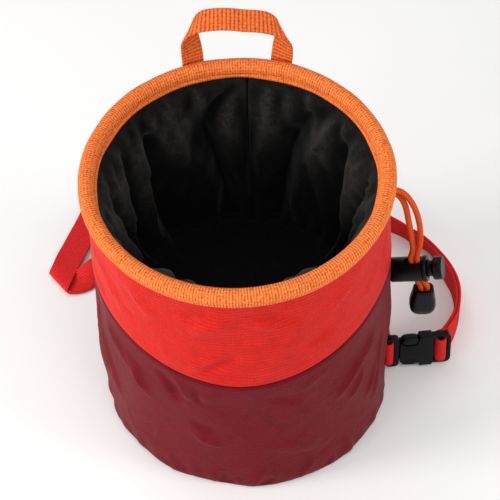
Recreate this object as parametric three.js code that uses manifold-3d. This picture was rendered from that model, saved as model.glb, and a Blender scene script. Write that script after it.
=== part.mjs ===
// Chalk bag: a round cloth bucket with a loose fleece lining, a bound rim, a hang loop, a drawcord
// with its lock and end piece, and a waist belt closed by a side-release buckle.
// Millimetres, +Z up, front towards -Y, origin on the floor under the middle of the base.
import * as THREE from "three";
import { mergeVertices } from "three/addons/utils/BufferGeometryUtils.js";
import Module from "manifold-3d";

const wasm = await Module();
wasm.setup();

const { smoothstep, degToRad, lerp } = THREE.MathUtils;

// Driving dimensions of the bag
const rimHeight = 142.7; // top of the rim at its centre
const rimRadius = 66; // middle of the rolled binding
const rollRadius = 3.7; // rolled binding, half its thickness
const rimLean = -4.9; // the mouth stands this far to the left of the base
const rimTiltX = 0.028; // the rim rises to the right
const rimTiltY = 0.05; // and to the back
const wallRadius = 66.4; // outside of the wall under the rim
const belly = { swell: 0.7, fadeFrom: 60, fadeTo: 125 }; // the filled-out lower wall stands out a little
const baseRadius = 66; // where the wall turns in under the bag
const clothThickness = 1.2;
const fleeceThickness = 2.1;
const gap = 0.35; // between sewn pieces
const aroundWall = 72; // facets round the walls
const aroundLining = 80;

// Lower edge of the red wall: it dips at the front and is level round the back
const hemFront = 78.4;
const hemSide = 94.2;
const hemOverlap = 8;

// The wall is pressed in a little where the buckle lies against it
const dent = { angle: 98, spread: 15, depth: 2.4, fadeFrom: 18, fadeTo: 42 };

// Belt, buckle and hang loop webbing
const beltWidth = 13;
const beltThickness = 1.3;
const layerStep = 1.95; // from the middle of the strap to the middle of its tail
const loopWidth = 10.3;
const loopThickness = 1.2;

// Drawcord and its lock
const cordDiameter = 2.8;
const strandStep = 3.0; // between the two strands inside the lock
const lockCentre = new THREE.Vector3(76.3, 0, 77.5);
const lockAxis = new THREE.Vector3(0.958, -0.155, 0.24).normalize();
const barrelRadius = 5.8;
const stemRadius = 3.7;
const lockTravel = 2.4;
const cordEndFoot = new THREE.Vector3(80.6, -0.3, 48.6);
const cordEndHeight = 14.8;

// Buckle: length along X, height along Z before it is turned into place
const buckleCentre = new THREE.Vector3(83.1, 7.6, 10);
const buckleTurn = degToRad(7);
const buckleLean = degToRad(-6);

const colours = {
  red: 0xc92a2e,
  maroon: 0x6b222c,
  orange: 0xe5682f,
  fleece: 0x17171a,
  plastic: 0x1c1c1f,
  belt: 0xc2242b,
};

// A point of the bag: radius, angle from the front towards +X, and height before the lean
function bagPoint(radius, angle, height) {
  const share = height / rimHeight;
  const x = radius * Math.sin(angle);
  const y = -radius * Math.cos(angle);
  return new THREE.Vector3(x + rimLean * share, y, height + (x * rimTiltX + y * rimTiltY) * share);
}

// Closed geometry over equal rings: joined end to end, or closed by a fan at each end
function skin(rings, joined) {
  const count = rings[0].length;
  const points = rings.flat();
  const triangles = [];
  const spans = joined ? rings.length : rings.length - 1;
  for (let i = 0; i < spans; i++) {
    const next = (i + 1) % rings.length;
    for (let j = 0; j < count; j++) {
      const k = (j + 1) % count;
      triangles.push([i * count + j, next * count + j, next * count + k]);
      triangles.push([i * count + j, next * count + k, i * count + k]);
    }
  }
  if (!joined) {
    for (const end of [0, rings.length - 1]) {
      const middle = new THREE.Vector3();
      rings[end].forEach((point) => middle.addScaledVector(point, 1 / count));
      const centre = points.push(middle) - 1;
      for (let j = 0; j < count; j++) {
        const pair = [end * count + j, end * count + ((j + 1) % count)];
        triangles.push(end === 0 ? [centre, ...pair] : [centre, ...pair.reverse()]);
      }
    }
  }
  const volume = triangles.reduce(
    (sum, [a, b, c]) => sum + points[a].dot(points[b].clone().cross(points[c])), 0);
  if (volume < 0) triangles.forEach((triangle) => triangle.reverse());
  const geometry = new THREE.BufferGeometry().setFromPoints(points);
  geometry.setIndex(triangles.flat());
  return geometry;
}

function toSolid(geometry) {
  const plain = geometry.clone();
  plain.deleteAttribute("normal");
  plain.deleteAttribute("uv");
  const merged = mergeVertices(plain, 1e-4);
  const index = merged.index.array;
  const triangles = [];
  for (let i = 0; i < index.length; i += 3) {
    const [a, b, c] = index.slice(i, i + 3);
    if (a !== b && b !== c && c !== a) triangles.push(a, b, c);
  }
  return new wasm.Manifold(new wasm.Mesh({
    numProp: 3,
    vertProperties: new Float32Array(merged.attributes.position.array),
    triVerts: new Uint32Array(triangles),
  }));
}

function toGeometry(solid) {
  const mesh = solid.getMesh();
  const geometry = new THREE.BufferGeometry();
  geometry.setAttribute("position", new THREE.BufferAttribute(mesh.vertProperties, 3));
  geometry.setIndex(new THREE.BufferAttribute(mesh.triVerts, 1));
  return geometry;
}

function piece(name, geometry, color, roughness) {
  const mesh = new THREE.Mesh(geometry, new THREE.MeshStandardMaterial({ color, roughness, metalness: 0 }));
  mesh.name = name;
  return mesh;
}

// Height of the red wall's lower edge at an angle from the front
function hemHeight(angle) {
  const side = Math.abs(Math.atan2(Math.sin(angle), Math.cos(angle)));
  const rise = side < Math.PI / 2 ? Math.pow(Math.sin(side), 1.7) : 1;
  return lerp(hemFront, hemSide, rise);
}

// Outside radius of the cloth wall at a height
function wallAt(height) {
  return wallRadius + belly.swell * (1 - smoothstep(height, belly.fadeFrom, belly.fadeTo));
}

// Inward press of the wall beside the buckle
function dentDepth(angle, height) {
  const off = (angle - degToRad(dent.angle)) / degToRad(dent.spread);
  const low = smoothstep(height, 0, 4) * (1 - smoothstep(height, dent.fadeFrom, dent.fadeTo));
  return dent.depth * Math.exp(-off * off) * low;
}

// A wall ring: profile(angle) gives a closed loop of [radius, height]
function wallRing(profile) {
  const rings = [];
  for (let i = 0; i < aroundWall; i++) {
    const angle = (2 * Math.PI * i) / aroundWall;
    rings.push(profile(angle).map(([radius, height]) => bagPoint(radius, angle, height)));
  }
  return skin(rings, true);
}

function basePanel() {
  const radius = baseRadius - gap;
  const ring = (r, height) => Array.from({ length: aroundWall },
    (_, i) => bagPoint(r, (2 * Math.PI * i) / aroundWall, height));
  return skin([ring(radius, 0), ring(radius, clothThickness)], false);
}

function lowerPanel() {
  // Outside of the maroon wall from the turned-in foot up to the step under the red hem
  const outside = [
    { inset: wallAt(0) - baseRadius, height: 0 },
    { inset: 0.45, height: 1.6 },
    { inset: 0.05, height: 5 },
    { inset: 0, height: 12 },
    { inset: 0, height: 36 },
  ];
  const tuck = 1.15;
  return wallRing((angle) => {
    const hem = hemHeight(angle);
    const rows = [...outside, { inset: 0, height: hem - 4 }, { inset: tuck, height: hem - 0.6 },
      { inset: tuck, height: hem + hemOverlap }];
    const outer = rows.map(({ inset, height }) =>
      [wallAt(height) - inset - dentDepth(angle, height), height]);
    const foot = [baseRadius, clothThickness];
    const inner = outer.slice(2).map(([radius, height]) => [radius - clothThickness, height]);
    return [...outer, ...inner.reverse(), foot];
  });
}

function upperPanel() {
  const proud = 0.4; // over the maroon wall
  const thickness = 1;
  const top = rimHeight - 4.6;
  return wallRing((angle) => {
    const hem = hemHeight(angle);
    const heights = [hem, lerp(hem, top, 0.35), lerp(hem, top, 0.7), top];
    const outer = heights.map((height) => [wallAt(height) + proud, height]);
    const inner = outer.map(([radius, height]) => [radius - thickness, height]);
    return [...outer, ...inner.reverse()];
  });
}

function rimBinding() {
  // Tape folded over the edge: outer leg, half-round roll, inner leg
  const tape = 1;
  const outerLeg = { radius: wallRadius + 1.7, drop: 8.6 };
  const innerLeg = { radius: rimRadius - 3.8, drop: 5.8 };
  const rollSteps = 7;
  const rollFrom = degToRad(-25);
  const rollTo = degToRad(200);
  const centre = rimHeight - rollRadius;
  const outer = [[outerLeg.radius, rimHeight - outerLeg.drop]];
  const inner = [[outerLeg.radius - tape, rimHeight - outerLeg.drop]];
  for (let i = 0; i <= rollSteps; i++) {
    const turn = lerp(rollFrom, rollTo, i / rollSteps);
    const place = (radius) => [rimRadius + radius * Math.cos(turn), centre + radius * Math.sin(turn)];
    outer.push(place(rollRadius));
    inner.push(place(rollRadius - tape));
  }
  outer.push([innerLeg.radius, rimHeight - innerLeg.drop]);
  inner.push([innerLeg.radius + tape - 0.1, rimHeight - innerLeg.drop]);
  const loop = [...outer, ...inner.reverse()];
  return wallRing(() => loop);
}

// Folds of the lining: angle of each crest from the front, its half width and how far it comes in
const folds = [
  { angle: -172, width: 11, depth: 0.9 },
  { angle: -150, width: 9, depth: 0.8 },
  { angle: -128, width: 9, depth: 1.0 },
  { angle: -107, width: 9, depth: 1.25 },
  { angle: -86, width: 8, depth: 1.2 },
  { angle: -63, width: 9, depth: 1.1 },
  { angle: -34, width: 10, depth: 0.9 },
  { angle: -8, width: 9, depth: 0.5 },
  { angle: 22, width: 9, depth: 0.8 },
  { angle: 46, width: 9, depth: 0.9 },
  { angle: 70, width: 9, depth: 1.1 },
  { angle: 94, width: 9, depth: 1.2 },
  { angle: 118, width: 9, depth: 1.0 },
  { angle: 138, width: 8, depth: 1.0 },
  { angle: 162, width: 10, depth: 0.9 },
];

function foldDepth(angle) {
  let depth = 0;
  for (const fold of folds) {
    const off = Math.atan2(Math.sin(angle - degToRad(fold.angle)), Math.cos(angle - degToRad(fold.angle)));
    depth += fold.depth * Math.exp(-Math.pow(off / degToRad(fold.width), 2));
  }
  return depth;
}

function fleeceLining() {
  // Inner face of the lining: mean radius, height, and the reach of the folds there
  const rows = [
    { radius: 64.1, height: rimHeight - 3.8, reach: 0 },
    { radius: 63.5, height: rimHeight - 6.6, reach: 0 },
    { radius: 62.6, height: rimHeight - 15, reach: 1 },
    { radius: 60.8, height: rimHeight - 25, reach: 3.5 },
    { radius: 58.4, height: rimHeight - 39, reach: 6.5 },
    { radius: 55.5, height: rimHeight - 55, reach: 7.5 },
    { radius: 51.5, height: rimHeight - 70, reach: 6.5 },
    { radius: 44, height: rimHeight - 80, reach: 3.5 },
    { radius: 30, height: rimHeight - 84, reach: 1 },
  ];
  const ring = (row, outwards, down) => Array.from({ length: aroundLining }, (_, i) => {
    const angle = (2 * Math.PI * i) / aroundLining;
    const radius = row.radius + outwards - row.reach * foldDepth(angle);
    return bagPoint(radius, angle, row.height - down);
  });
  const floorStart = rows.length - 2;
  const tuckedRadius = 65.4; // outside of the edge held in the binding
  const inner = rows.map((row) => ring(row, 0, 0));
  const outer = rows.map((row, i) => {
    if (i < 2) return ring(row, tuckedRadius - row.radius, 0);
    return i < floorStart ? ring(row, fleeceThickness, 0) : ring(row, 1, fleeceThickness);
  });
  return skin([...outer.reverse(), ...inner], false);
}

// Flat strap through stations of { point, across }: across is the half-width vector
function strap(stations, thickness, steps) {
  const route = new THREE.CatmullRomCurve3(stations.map((s) => s.point), false, "centripetal");
  const sides = new THREE.CatmullRomCurve3(stations.map((s) => s.across), false, "catmullrom", 0.5);
  const count = (stations.length - 1) * steps;
  const samples = Array.from({ length: count + 1 }, (_, i) => ({
    point: route.getPoint(i / count),
    across: sides.getPoint(i / count),
  }));
  const rings = samples.map(({ point, across }, i) => {
    const ahead = samples[Math.min(i + 1, count)].point;
    const behind = samples[Math.max(i - 1, 0)].point;
    const face = ahead.clone().sub(behind).cross(across).setLength(thickness / 2);
    return [[1, 1], [1, -1], [-1, -1], [-1, 1]].map(([side, level]) =>
      point.clone().addScaledVector(across, side).addScaledVector(face, level));
  });
  return skin(rings, false);
}

function hangLoop() {
  // One leg from its sewn end up to the middle of the top run; out is measured from the loop's middle
  const middle = rimLean;
  const rows = [
    { out: 20.4, y: 65.2, z: 112, twist: 0 },
    { out: 20.4, y: 65.3, z: 130, twist: 0 },
    { out: 20.3, y: 67.0, z: 137.5, twist: 0 },
    { out: 20.2, y: 68.3, z: 143, twist: 0.06 },
    { out: 20.8, y: 69.0, z: 150, twist: 0.18 },
    { out: 21.5, y: 69.6, z: 156.8, twist: 0.42 },
    { out: 20.7, y: 70, z: 162.2, twist: 0.68 },
    { out: 16.4, y: 70.2, z: 165.7, twist: 0.9 },
    { out: 10.5, y: 70.2, z: 167.0, twist: 0.98 },
    { out: 4, y: 70.2, z: 167.2, twist: 1 },
  ];
  const sewn = new THREE.Vector3(0.952, 0.307, 0); // along the wall
  const topRun = new THREE.Vector3(0, 0.75, 0.66); // leaning back
  const left = rows.map(({ out, y, z, twist }) => ({
    point: new THREE.Vector3(middle - out, y, z),
    across: sewn.clone().lerp(topRun, twist).setLength(loopWidth / 2),
  }));
  const right = left.map(({ point, across }) => ({
    point: new THREE.Vector3(2 * middle - point.x, point.y, point.z),
    across: new THREE.Vector3(-across.x, across.y, across.z),
  }));
  return strap([...left, ...right.reverse()], loopThickness, 2);
}

// Turns a point of the buckle's own frame into place
function buckleMatrix() {
  const turn = new THREE.Matrix4().makeRotationZ(buckleTurn);
  turn.multiply(new THREE.Matrix4().makeRotationX(buckleLean));
  return turn.setPosition(buckleCentre);
}

// Belt on the floor: from the buckle round the back to the fold on the left
// lean 0 stands on edge, 90 lies with its outer edge outwards; heading and skew only at the fold
const beltOut = [
  { x: 96.1, y: 16.6, z: 7.1, lean: -7 },
  { x: 97.7, y: 19.3, z: 7.1, lean: -6 },
  { x: 99.65, y: 23.3, z: 7.1, lean: -3 },
  { x: 101.35, y: 27.75, z: 7.1, lean: 0 },
  { x: 102.5, y: 32.75, z: 7.1, lean: 0 },
  { x: 103.2, y: 38, z: 7.1, lean: 0 },
  { x: 103.3, y: 44.3, z: 7.1, lean: 0 },
  { x: 102.1, y: 51.3, z: 7.1, lean: 0 },
  { x: 100.4, y: 56.3, z: 7.1, lean: 0 },
  { x: 98.4, y: 61.1, z: 7.1, lean: -2 },
  { x: 96.4, y: 66.0, z: 7.1, lean: -9 },
  { x: 92.1, y: 74.6, z: 7.0, lean: -20 },
  { x: 88.3, y: 78.8, z: 7.0, lean: -20 },
  { x: 83.9, y: 81.8, z: 7.0, lean: -15 },
  { x: 80.2, y: 85.3, z: 7.0, lean: -11 },
  { x: 73.3, y: 90.4, z: 7.0, lean: -8 },
  { x: 53, y: 101.8, z: 7.0, lean: 4 },
  { x: 28, y: 114.6, z: 6.8, lean: 20 },
  { x: 2, y: 122.5, z: 5.9, lean: 42 },
  { x: -25, y: 124.3, z: 4.7, lean: 60 },
  { x: -54, y: 122, z: 3.0, lean: 76 },
  { x: -71, y: 116, z: 2.4, lean: 86 },
  { x: -77.6, y: 106.6, z: 2.4, lean: 90 },
  { x: -81.6, y: 95.4, z: 2.4, lean: 90 },
  { x: -87.5, y: 78.6, z: 2.7, lean: 90 },
  { x: -91.1, y: 68.5, z: 2.8, lean: 90, skew: -18, heading: 251 },
  { x: -93.2, y: 61.2, z: 2.8, lean: 90, skew: -34, heading: 251 },
];
const beltFold = { x: -94.7, y: 56.0, z: 1.8, lean: 90, skew: -34, heading: 251 };
const beltBack = [
  { x: -91.8, y: 55.9, z: 0.98, lean: -90, skew: 34, heading: 3 },
  { x: -88.0, y: 56.2, z: 0.98, lean: -90, skew: 24, heading: 6 },
  { x: -83.7, y: 57.2, z: 1.75, lean: -83, skew: 8, heading: 18 },
  { x: -77.8, y: 60.4, z: 4.4, lean: -58, skew: 0, heading: 26 },
  { x: -71, y: 64.9, z: 6.4, lean: -36 },
  { x: -57, y: 68.6, z: 8.8, lean: -12 },
  { x: -40, y: 67.4, z: 11.6, lean: 0 },
  { x: -27, y: 65.0, z: 13.8, lean: 0 },
  { x: -18.2, y: 66.2, z: 15.2, lean: 0 },
  { x: -10.1, y: 67.7, z: 15.9, lean: 0 },
  { x: -0.5, y: 68.36, z: 16, lean: 0 },
  { x: 10.1, y: 67.6, z: 15.9, lean: 0 },
  { x: 23, y: 64.8, z: 15.6, lean: 0 },
  { x: 43.7, y: 53, z: 14.2, lean: 0 },
  { x: 56, y: 40, z: 12.6, lean: 0 },
  { x: 63.6, y: 26.8, z: 11.2, lean: 0 },
  { x: 67.3, y: 16.4, z: 10.3, lean: 0 },
];
const tailRows = 14; // the free end lies along this many rows of the outgoing run

// Belt round the buckle's bars, in the buckle's own frame, seen from above
const femaleWrap = [
  { x: 12.9, y: 5.6 }, { x: 11.1, y: 4.7 }, { x: 9.2, y: 4.2 }, { x: 7.9, y: 3.2 }, { x: 7.5, y: 1.4 },
  { x: 7.5, y: -1.4 }, { x: 8.2, y: -2.6 }, { x: 9.7, y: -2.95 }, { x: 11.2, y: -2.6 },
  { x: 11.85, y: -1.3 }, { x: 11.9, y: 0.8 }, { x: 12.7, y: 2.3 }, { x: 14.4, y: 4.1 },
];
const maleWrap = [
  { x: -14.6, y: 4.6 }, { x: -13.8, y: 2.4 }, { x: -13.7, y: -0.6 }, { x: -14.3, y: -2.2 },
  { x: -15.9, y: -2.75 }, { x: -17.25, y: -2.1 }, { x: -17.7, y: -0.4 }, { x: -17.35, y: 3 },
  { x: -17.3, y: 9 }, { x: -17.4, y: 15.5 },
];

function floorStations(rows) {
  return rows.map((row, i) => {
    const before = rows[Math.max(i - 1, 0)];
    const after = rows[Math.min(i + 1, rows.length - 1)];
    const heading = row.heading === undefined
      ? Math.atan2(after.y - before.y, after.x - before.x) : degToRad(row.heading);
    const skew = degToRad(row.skew ?? 0);
    const lean = degToRad(row.lean);
    const level = new THREE.Vector3(Math.sin(heading + skew), -Math.cos(heading + skew), 0);
    const half = beltWidth / 2;
    const across = level.clone().multiplyScalar((half * Math.sin(lean)) / Math.cos(skew));
    across.z = half * Math.cos(lean);
    const along = new THREE.Vector3(Math.cos(heading), Math.sin(heading), 0);
    return { point: new THREE.Vector3(row.x, row.y, row.z), across, along };
  });
}

function waistBelt() {
  const place = buckleMatrix();
  const upright = new THREE.Vector3(0, 0, beltWidth / 2).transformDirection(place);
  const round = (rows) => rows.map(({ x, y }) => ({
    point: new THREE.Vector3(x, y, 0).applyMatrix4(place),
    across: upright.clone().setLength(beltWidth / 2),
  }));
  const out = floorStations(beltOut);
  const layer = (stations, side) => stations.map(({ point, across, along }) => ({
    point: point.clone().addScaledVector(along.clone().cross(across).normalize(), (side * layerStep) / 2),
    across,
  }));
  const tail = layer(out.slice(0, tailRows), 1).reverse();
  const run = [...layer(out.slice(0, tailRows), -1), ...out.slice(tailRows)];
  const stations = [
    ...tail,
    ...round(femaleWrap).reverse(),
    ...run,
    ...floorStations([beltFold]),
    ...floorStations(beltBack),
    ...round(maleWrap),
  ];
  return strap(stations, beltThickness, 2);
}

function beltKeeper() {
  // Sewn down above and below the belt, standing off the wall between
  const strip = 1.1;
  const halfAngle = degToRad(10);
  const rows = [
    { off: gap, height: 2.6 }, { off: gap, height: 6.6 }, { off: 2.45, height: 8.6 },
    { off: 2.45, height: 24.2 }, { off: gap, height: 26.4 }, { off: gap, height: 31 },
  ];
  const loop = [
    ...rows.map(({ off, height }) => [wallAt(height) + off, height]),
    ...rows.map(({ off, height }) => [wallAt(height) + off + strip, height]).reverse(),
  ];
  const spans = 6;
  const rings = Array.from({ length: spans + 1 }, (_, i) => {
    const angle = Math.PI + lerp(-halfAngle, halfAngle, i / spans);
    return loop.map(([radius, height]) => bagPoint(radius, angle, height));
  });
  return skin(rings, false);
}

// Flat plate from a shape in the buckle's length and height, centred on its thickness
function plate(shape, thickness) {
  const settings = { depth: thickness, bevelEnabled: false, curveSegments: 5 };
  const geometry = new THREE.ExtrudeGeometry(shape, settings);
  geometry.rotateX(Math.PI / 2);
  geometry.translate(0, thickness / 2, 0);
  return geometry;
}

function roundedRect(x0, x1, halfHeight, corner) {
  const outline = new THREE.Shape();
  outline.moveTo(x0 + corner, -halfHeight);
  outline.lineTo(x1 - corner, -halfHeight);
  outline.absarc(x1 - corner, -halfHeight + corner, corner, -Math.PI / 2, 0);
  outline.lineTo(x1, halfHeight - corner);
  outline.absarc(x1 - corner, halfHeight - corner, corner, 0, Math.PI / 2);
  outline.lineTo(x0 + corner, halfHeight);
  outline.absarc(x0 + corner, halfHeight - corner, corner, Math.PI / 2, Math.PI);
  outline.lineTo(x0, -halfHeight + corner);
  outline.absarc(x0 + corner, -halfHeight + corner, corner, Math.PI, Math.PI * 1.5);
  return outline;
}

const buckle = {
  halfHeight: 9.4,
  mouth: -10.2, // left edge of the female body
  shoulder: -1.2, // where its full height starts
  bodyEnd: 5.6,
  frameEnd: 14.7,
  bodyThickness: 6,
  frameThickness: 3.2,
  cavityThickness: 3.6,
  maleThickness: 2.8,
  slotHalf: 7.2,
};

function buckleFemale() {
  const b = buckle;
  const body = new THREE.Shape();
  body.moveTo(b.mouth, -5.6);
  body.lineTo(b.shoulder - 1.6, -5.6);
  body.quadraticCurveTo(b.shoulder, -6, b.shoulder, -b.halfHeight + 0.6);
  body.lineTo(b.shoulder + 0.6, -b.halfHeight);
  body.lineTo(b.bodyEnd, -b.halfHeight);
  body.lineTo(b.bodyEnd, b.halfHeight);
  body.lineTo(b.shoulder + 0.6, b.halfHeight);
  body.lineTo(b.shoulder, b.halfHeight - 0.6);
  body.quadraticCurveTo(b.shoulder, 6, b.shoulder - 1.6, 5.6);
  body.lineTo(b.mouth, 5.6);
  body.closePath();
  const frame = roundedRect(b.bodyEnd - 2, b.frameEnd, b.halfHeight, 1.6);
  const slots = [[6.2, 8.8], [10.6, 13.1]].map(([from, to]) => roundedRect(from, to, b.slotHalf, 0.5));
  const cavity = roundedRect(b.mouth - 2, 4.4, b.halfHeight - 1.1, 0.5);
  let solid = toSolid(plate(body, b.bodyThickness)).add(toSolid(plate(frame, b.frameThickness)));
  solid = solid.subtract(toSolid(plate(cavity, b.cavityThickness)));
  for (const slot of slots) solid = solid.subtract(toSolid(plate(slot, b.bodyThickness + 2)));
  return toGeometry(solid);
}

function buckleMale() {
  const b = buckle;
  const bar = roundedRect(-16.7, -10.5, b.halfHeight - 0.3, 1.4);
  const slot = roundedRect(-15.2, -12.2, b.slotHalf, 0.5);
  const tongue = roundedRect(-10.9, 1, 1.5, 0.6);
  const arm = new THREE.Shape();
  arm.moveTo(-10.9, 5.8);
  arm.quadraticCurveTo(-5, 6.9, 2.6, 5.2);
  arm.quadraticCurveTo(3.9, 6, 3.2, 7.4);
  arm.lineTo(-0.6, 7.8);
  arm.quadraticCurveTo(-3.4, 9.6, -6.2, 9.3);
  arm.quadraticCurveTo(-9, 9, -10.9, 7.6);
  arm.closePath();
  const armPlate = plate(arm, b.maleThickness);
  const lowerArm = armPlate.clone().rotateX(Math.PI);
  let solid = toSolid(plate(bar, b.frameThickness)).subtract(toSolid(plate(slot, b.frameThickness + 2)));
  for (const geometry of [plate(tongue, b.maleThickness), armPlate, lowerArm]) {
    solid = solid.add(toSolid(geometry));
  }
  return toGeometry(solid);
}

// Round body on the lock's axis: rows of [distance along the axis, radius], seam closed on the axis
function turned(rows, segments) {
  const profile = rows.map(([along, radius]) => new THREE.Vector2(radius, along));
  const geometry = new THREE.LatheGeometry(profile, segments);
  geometry.rotateZ(-Math.PI / 2);
  return geometry;
}

// Slot for the two strands, cut right through across the lock's axis
function strandSlot(from, to, halfWidth) {
  const outline = new THREE.Shape();
  outline.absarc(to - halfWidth, 0, halfWidth, -Math.PI / 2, Math.PI / 2);
  outline.absarc(from + halfWidth, 0, halfWidth, Math.PI / 2, Math.PI * 1.5);
  outline.closePath();
  const depth = 4 * barrelRadius;
  const geometry = new THREE.ExtrudeGeometry(outline, { depth, bevelEnabled: false, curveSegments: 8 });
  return geometry.translate(0, 0, -depth / 2);
}

const lock = {
  closedEnd: -10.6,
  boreEnd: -8.2,
  openEnd: 6.2,
  collarStart: 3.4,
  collarRadius: 6.15,
  stemEnd: -5.4,
  capStart: 8.9,
  capEnd: 13.3,
  capRadius: 5.4,
  slotHalf: 1.85,
  slotReach: strandStep / 2 + 1.95,
};

function lockBarrel() {
  const bore = stemRadius + 0.3;
  const rows = [
    [lock.closedEnd, 0], [lock.closedEnd, barrelRadius - 0.9], [lock.closedEnd + 0.9, barrelRadius],
    [lock.collarStart, barrelRadius], [lock.collarStart + 0.5, lock.collarRadius],
    [lock.openEnd - 0.5, lock.collarRadius], [lock.openEnd, lock.collarRadius - 0.5],
    [lock.openEnd, bore], [lock.boreEnd, bore], [lock.boreEnd, 0],
  ];
  const slot = strandSlot(-lock.slotReach, lock.slotReach, lock.slotHalf);
  return toGeometry(toSolid(turned(rows, 28)).subtract(toSolid(slot)));
}

function lockPlunger() {
  const rows = [
    [lock.stemEnd, 0], [lock.stemEnd, stemRadius], [lock.capStart, stemRadius],
    [lock.capStart, lock.capRadius - 0.6], [lock.capStart + 0.6, lock.capRadius],
    [lock.capEnd - 1.1, lock.capRadius], [lock.capEnd, lock.capRadius - 1.1], [lock.capEnd, 0],
  ];
  const slot = strandSlot(-lock.slotReach, lock.slotReach + lockTravel, lock.slotHalf);
  return toGeometry(toSolid(turned(rows, 24)).subtract(toSolid(slot)));
}

// Bell-shaped end piece: rows of half width, half depth and height, with a pocket for the strands
function cordEnd() {
  const rows = [
    { half: 3.9, deep: 2.9, height: 0 },
    { half: 5.3, deep: 4.0, height: 1.2 },
    { half: 6.0, deep: 4.5, height: 4.2 },
    { half: 5.6, deep: 4.3, height: 8.5 },
    { half: 5.0, deep: 4.0, height: cordEndHeight - 1.8 },
    { half: 4.6, deep: 3.7, height: cordEndHeight },
  ];
  const sides = 24;
  const corner = 0.72; // below 1 squares the section
  const power = (v) => Math.sign(v) * Math.pow(Math.abs(v), corner);
  const rings = rows.map(({ half, deep, height }) => Array.from({ length: sides }, (_, i) => {
    const turn = (2 * Math.PI * i) / sides;
    return new THREE.Vector3(half * power(Math.cos(turn)), deep * power(Math.sin(turn)), height);
  }));
  const pocket = { depth: 7, half: 3.5, halfWidth: 1.95 };
  const cut = strandSlot(-pocket.half, pocket.half, pocket.halfWidth);
  cut.translate(0, 0, cordEndHeight - pocket.depth + 2 * barrelRadius);
  const solid = toSolid(skin(rings, false)).subtract(toSolid(cut));
  return toGeometry(solid).translate(cordEndFoot.x, cordEndFoot.y, cordEndFoot.z);
}

// Strands from the rim to the lock, then through it and into the end piece
const strandRoutes = {
  drawcord_outer: {
    side: 1,
    above: [
      { x: 63.9, y: -3.2, z: 134.0 }, { x: 66.6, y: -2.6, z: 132.4 }, { x: 69.3, y: -2.2, z: 129.6 },
      { x: 73.2, y: -1.4, z: 121.8 }, { x: 75.9, y: -0.8, z: 112.6 }, { x: 77.4, y: -0.4, z: 103.2 },
      { x: 77.7, y: -0.2, z: 94.5 },
    ],
  },
  drawcord_inner: {
    side: -1,
    above: [
      { x: 63.9, y: -1.2, z: 130.2 }, { x: 66.2, y: -0.9, z: 127.6 }, { x: 68.6, y: -0.6, z: 121.6 },
      { x: 70.9, y: -0.2, z: 109.4 }, { x: 72.4, y: 0, z: 98.0 }, { x: 73.3, y: 0.2, z: 90.2 },
    ],
  },
};

function lockMatrix() {
  const up = new THREE.Vector3(0, 0, 1);
  up.addScaledVector(lockAxis, -up.dot(lockAxis)).normalize();
  const deep = up.clone().cross(lockAxis);
  return new THREE.Matrix4().makeBasis(lockAxis, deep, up).setPosition(lockCentre);
}

function strand({ side, above }) {
  const half = strandStep / 2;
  const lockLevels = [7.5, 3, -3, -7];
  const inLock = lockLevels.map((level) =>
    new THREE.Vector3(side * half, 0, level).applyMatrix4(lockMatrix()));
  const end = [cordEndHeight + 0.8, cordEndHeight - 6.2].map((height) =>
    new THREE.Vector3(cordEndFoot.x + side * (half + 0.05), cordEndFoot.y, cordEndFoot.z + height));
  const points = [...above.map(({ x, y, z }) => new THREE.Vector3(x, y, z)), ...inLock, ...end];
  const path = new THREE.CatmullRomCurve3(points, false, "centripetal");
  const section = new THREE.Shape();
  section.absarc(0, 0, cordDiameter / 2, 0, 2 * Math.PI);
  return new THREE.ExtrudeGeometry(section, { steps: 22, extrudePath: path, curveSegments: 4 });
}

const bag = new THREE.Group();
bag.add(piece("base_panel", basePanel(), colours.maroon, 0.7));
bag.add(piece("lower_panel", lowerPanel(), colours.maroon, 0.65));
bag.add(piece("upper_panel", upperPanel(), colours.red, 0.6));
bag.add(piece("rim_binding", rimBinding(), colours.orange, 0.75));
bag.add(piece("fleece_lining", fleeceLining(), colours.fleece, 0.95));
bag.add(piece("hang_loop", hangLoop(), colours.orange, 0.75));
bag.add(piece("waist_belt", waistBelt(), colours.belt, 0.7));
bag.add(piece("belt_keeper", beltKeeper(), colours.belt, 0.7));

const buckleGroup = new THREE.Group();
buckleGroup.applyMatrix4(buckleMatrix());
buckleGroup.add(piece("buckle_female", buckleFemale(), colours.plastic, 0.45));
buckleGroup.add(piece("buckle_male", buckleMale(), colours.plastic, 0.45));
bag.add(buckleGroup);

const lockGroup = new THREE.Group();
lockGroup.applyMatrix4(lockMatrix());
lockGroup.add(piece("cord_lock_barrel", lockBarrel(), colours.plastic, 0.4));
lockGroup.add(piece("cord_lock_plunger", lockPlunger(), colours.plastic, 0.4));
bag.add(lockGroup);

for (const [name, route] of Object.entries(strandRoutes)) {
  bag.add(piece(name, strand(route), colours.orange, 0.8));
}
bag.add(piece("cord_end", cordEnd(), colours.plastic, 0.4));

export default bag;
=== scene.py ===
import math

import bmesh
import bpy
import numpy as np
from mathutils import Matrix, Vector


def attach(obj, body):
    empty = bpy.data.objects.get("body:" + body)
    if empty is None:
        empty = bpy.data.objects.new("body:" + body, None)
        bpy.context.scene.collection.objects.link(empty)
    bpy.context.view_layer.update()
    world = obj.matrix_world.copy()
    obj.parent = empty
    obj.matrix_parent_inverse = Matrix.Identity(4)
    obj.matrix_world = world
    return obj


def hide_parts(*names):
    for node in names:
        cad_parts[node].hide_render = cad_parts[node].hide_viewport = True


# Chalk bag: cloth walls, bound rim, folded fleece lining, hang loop, drawcord with lock, belt and buckle.
# Sizes are in millimetres until a mesh is made; the frame is in metres.

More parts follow.
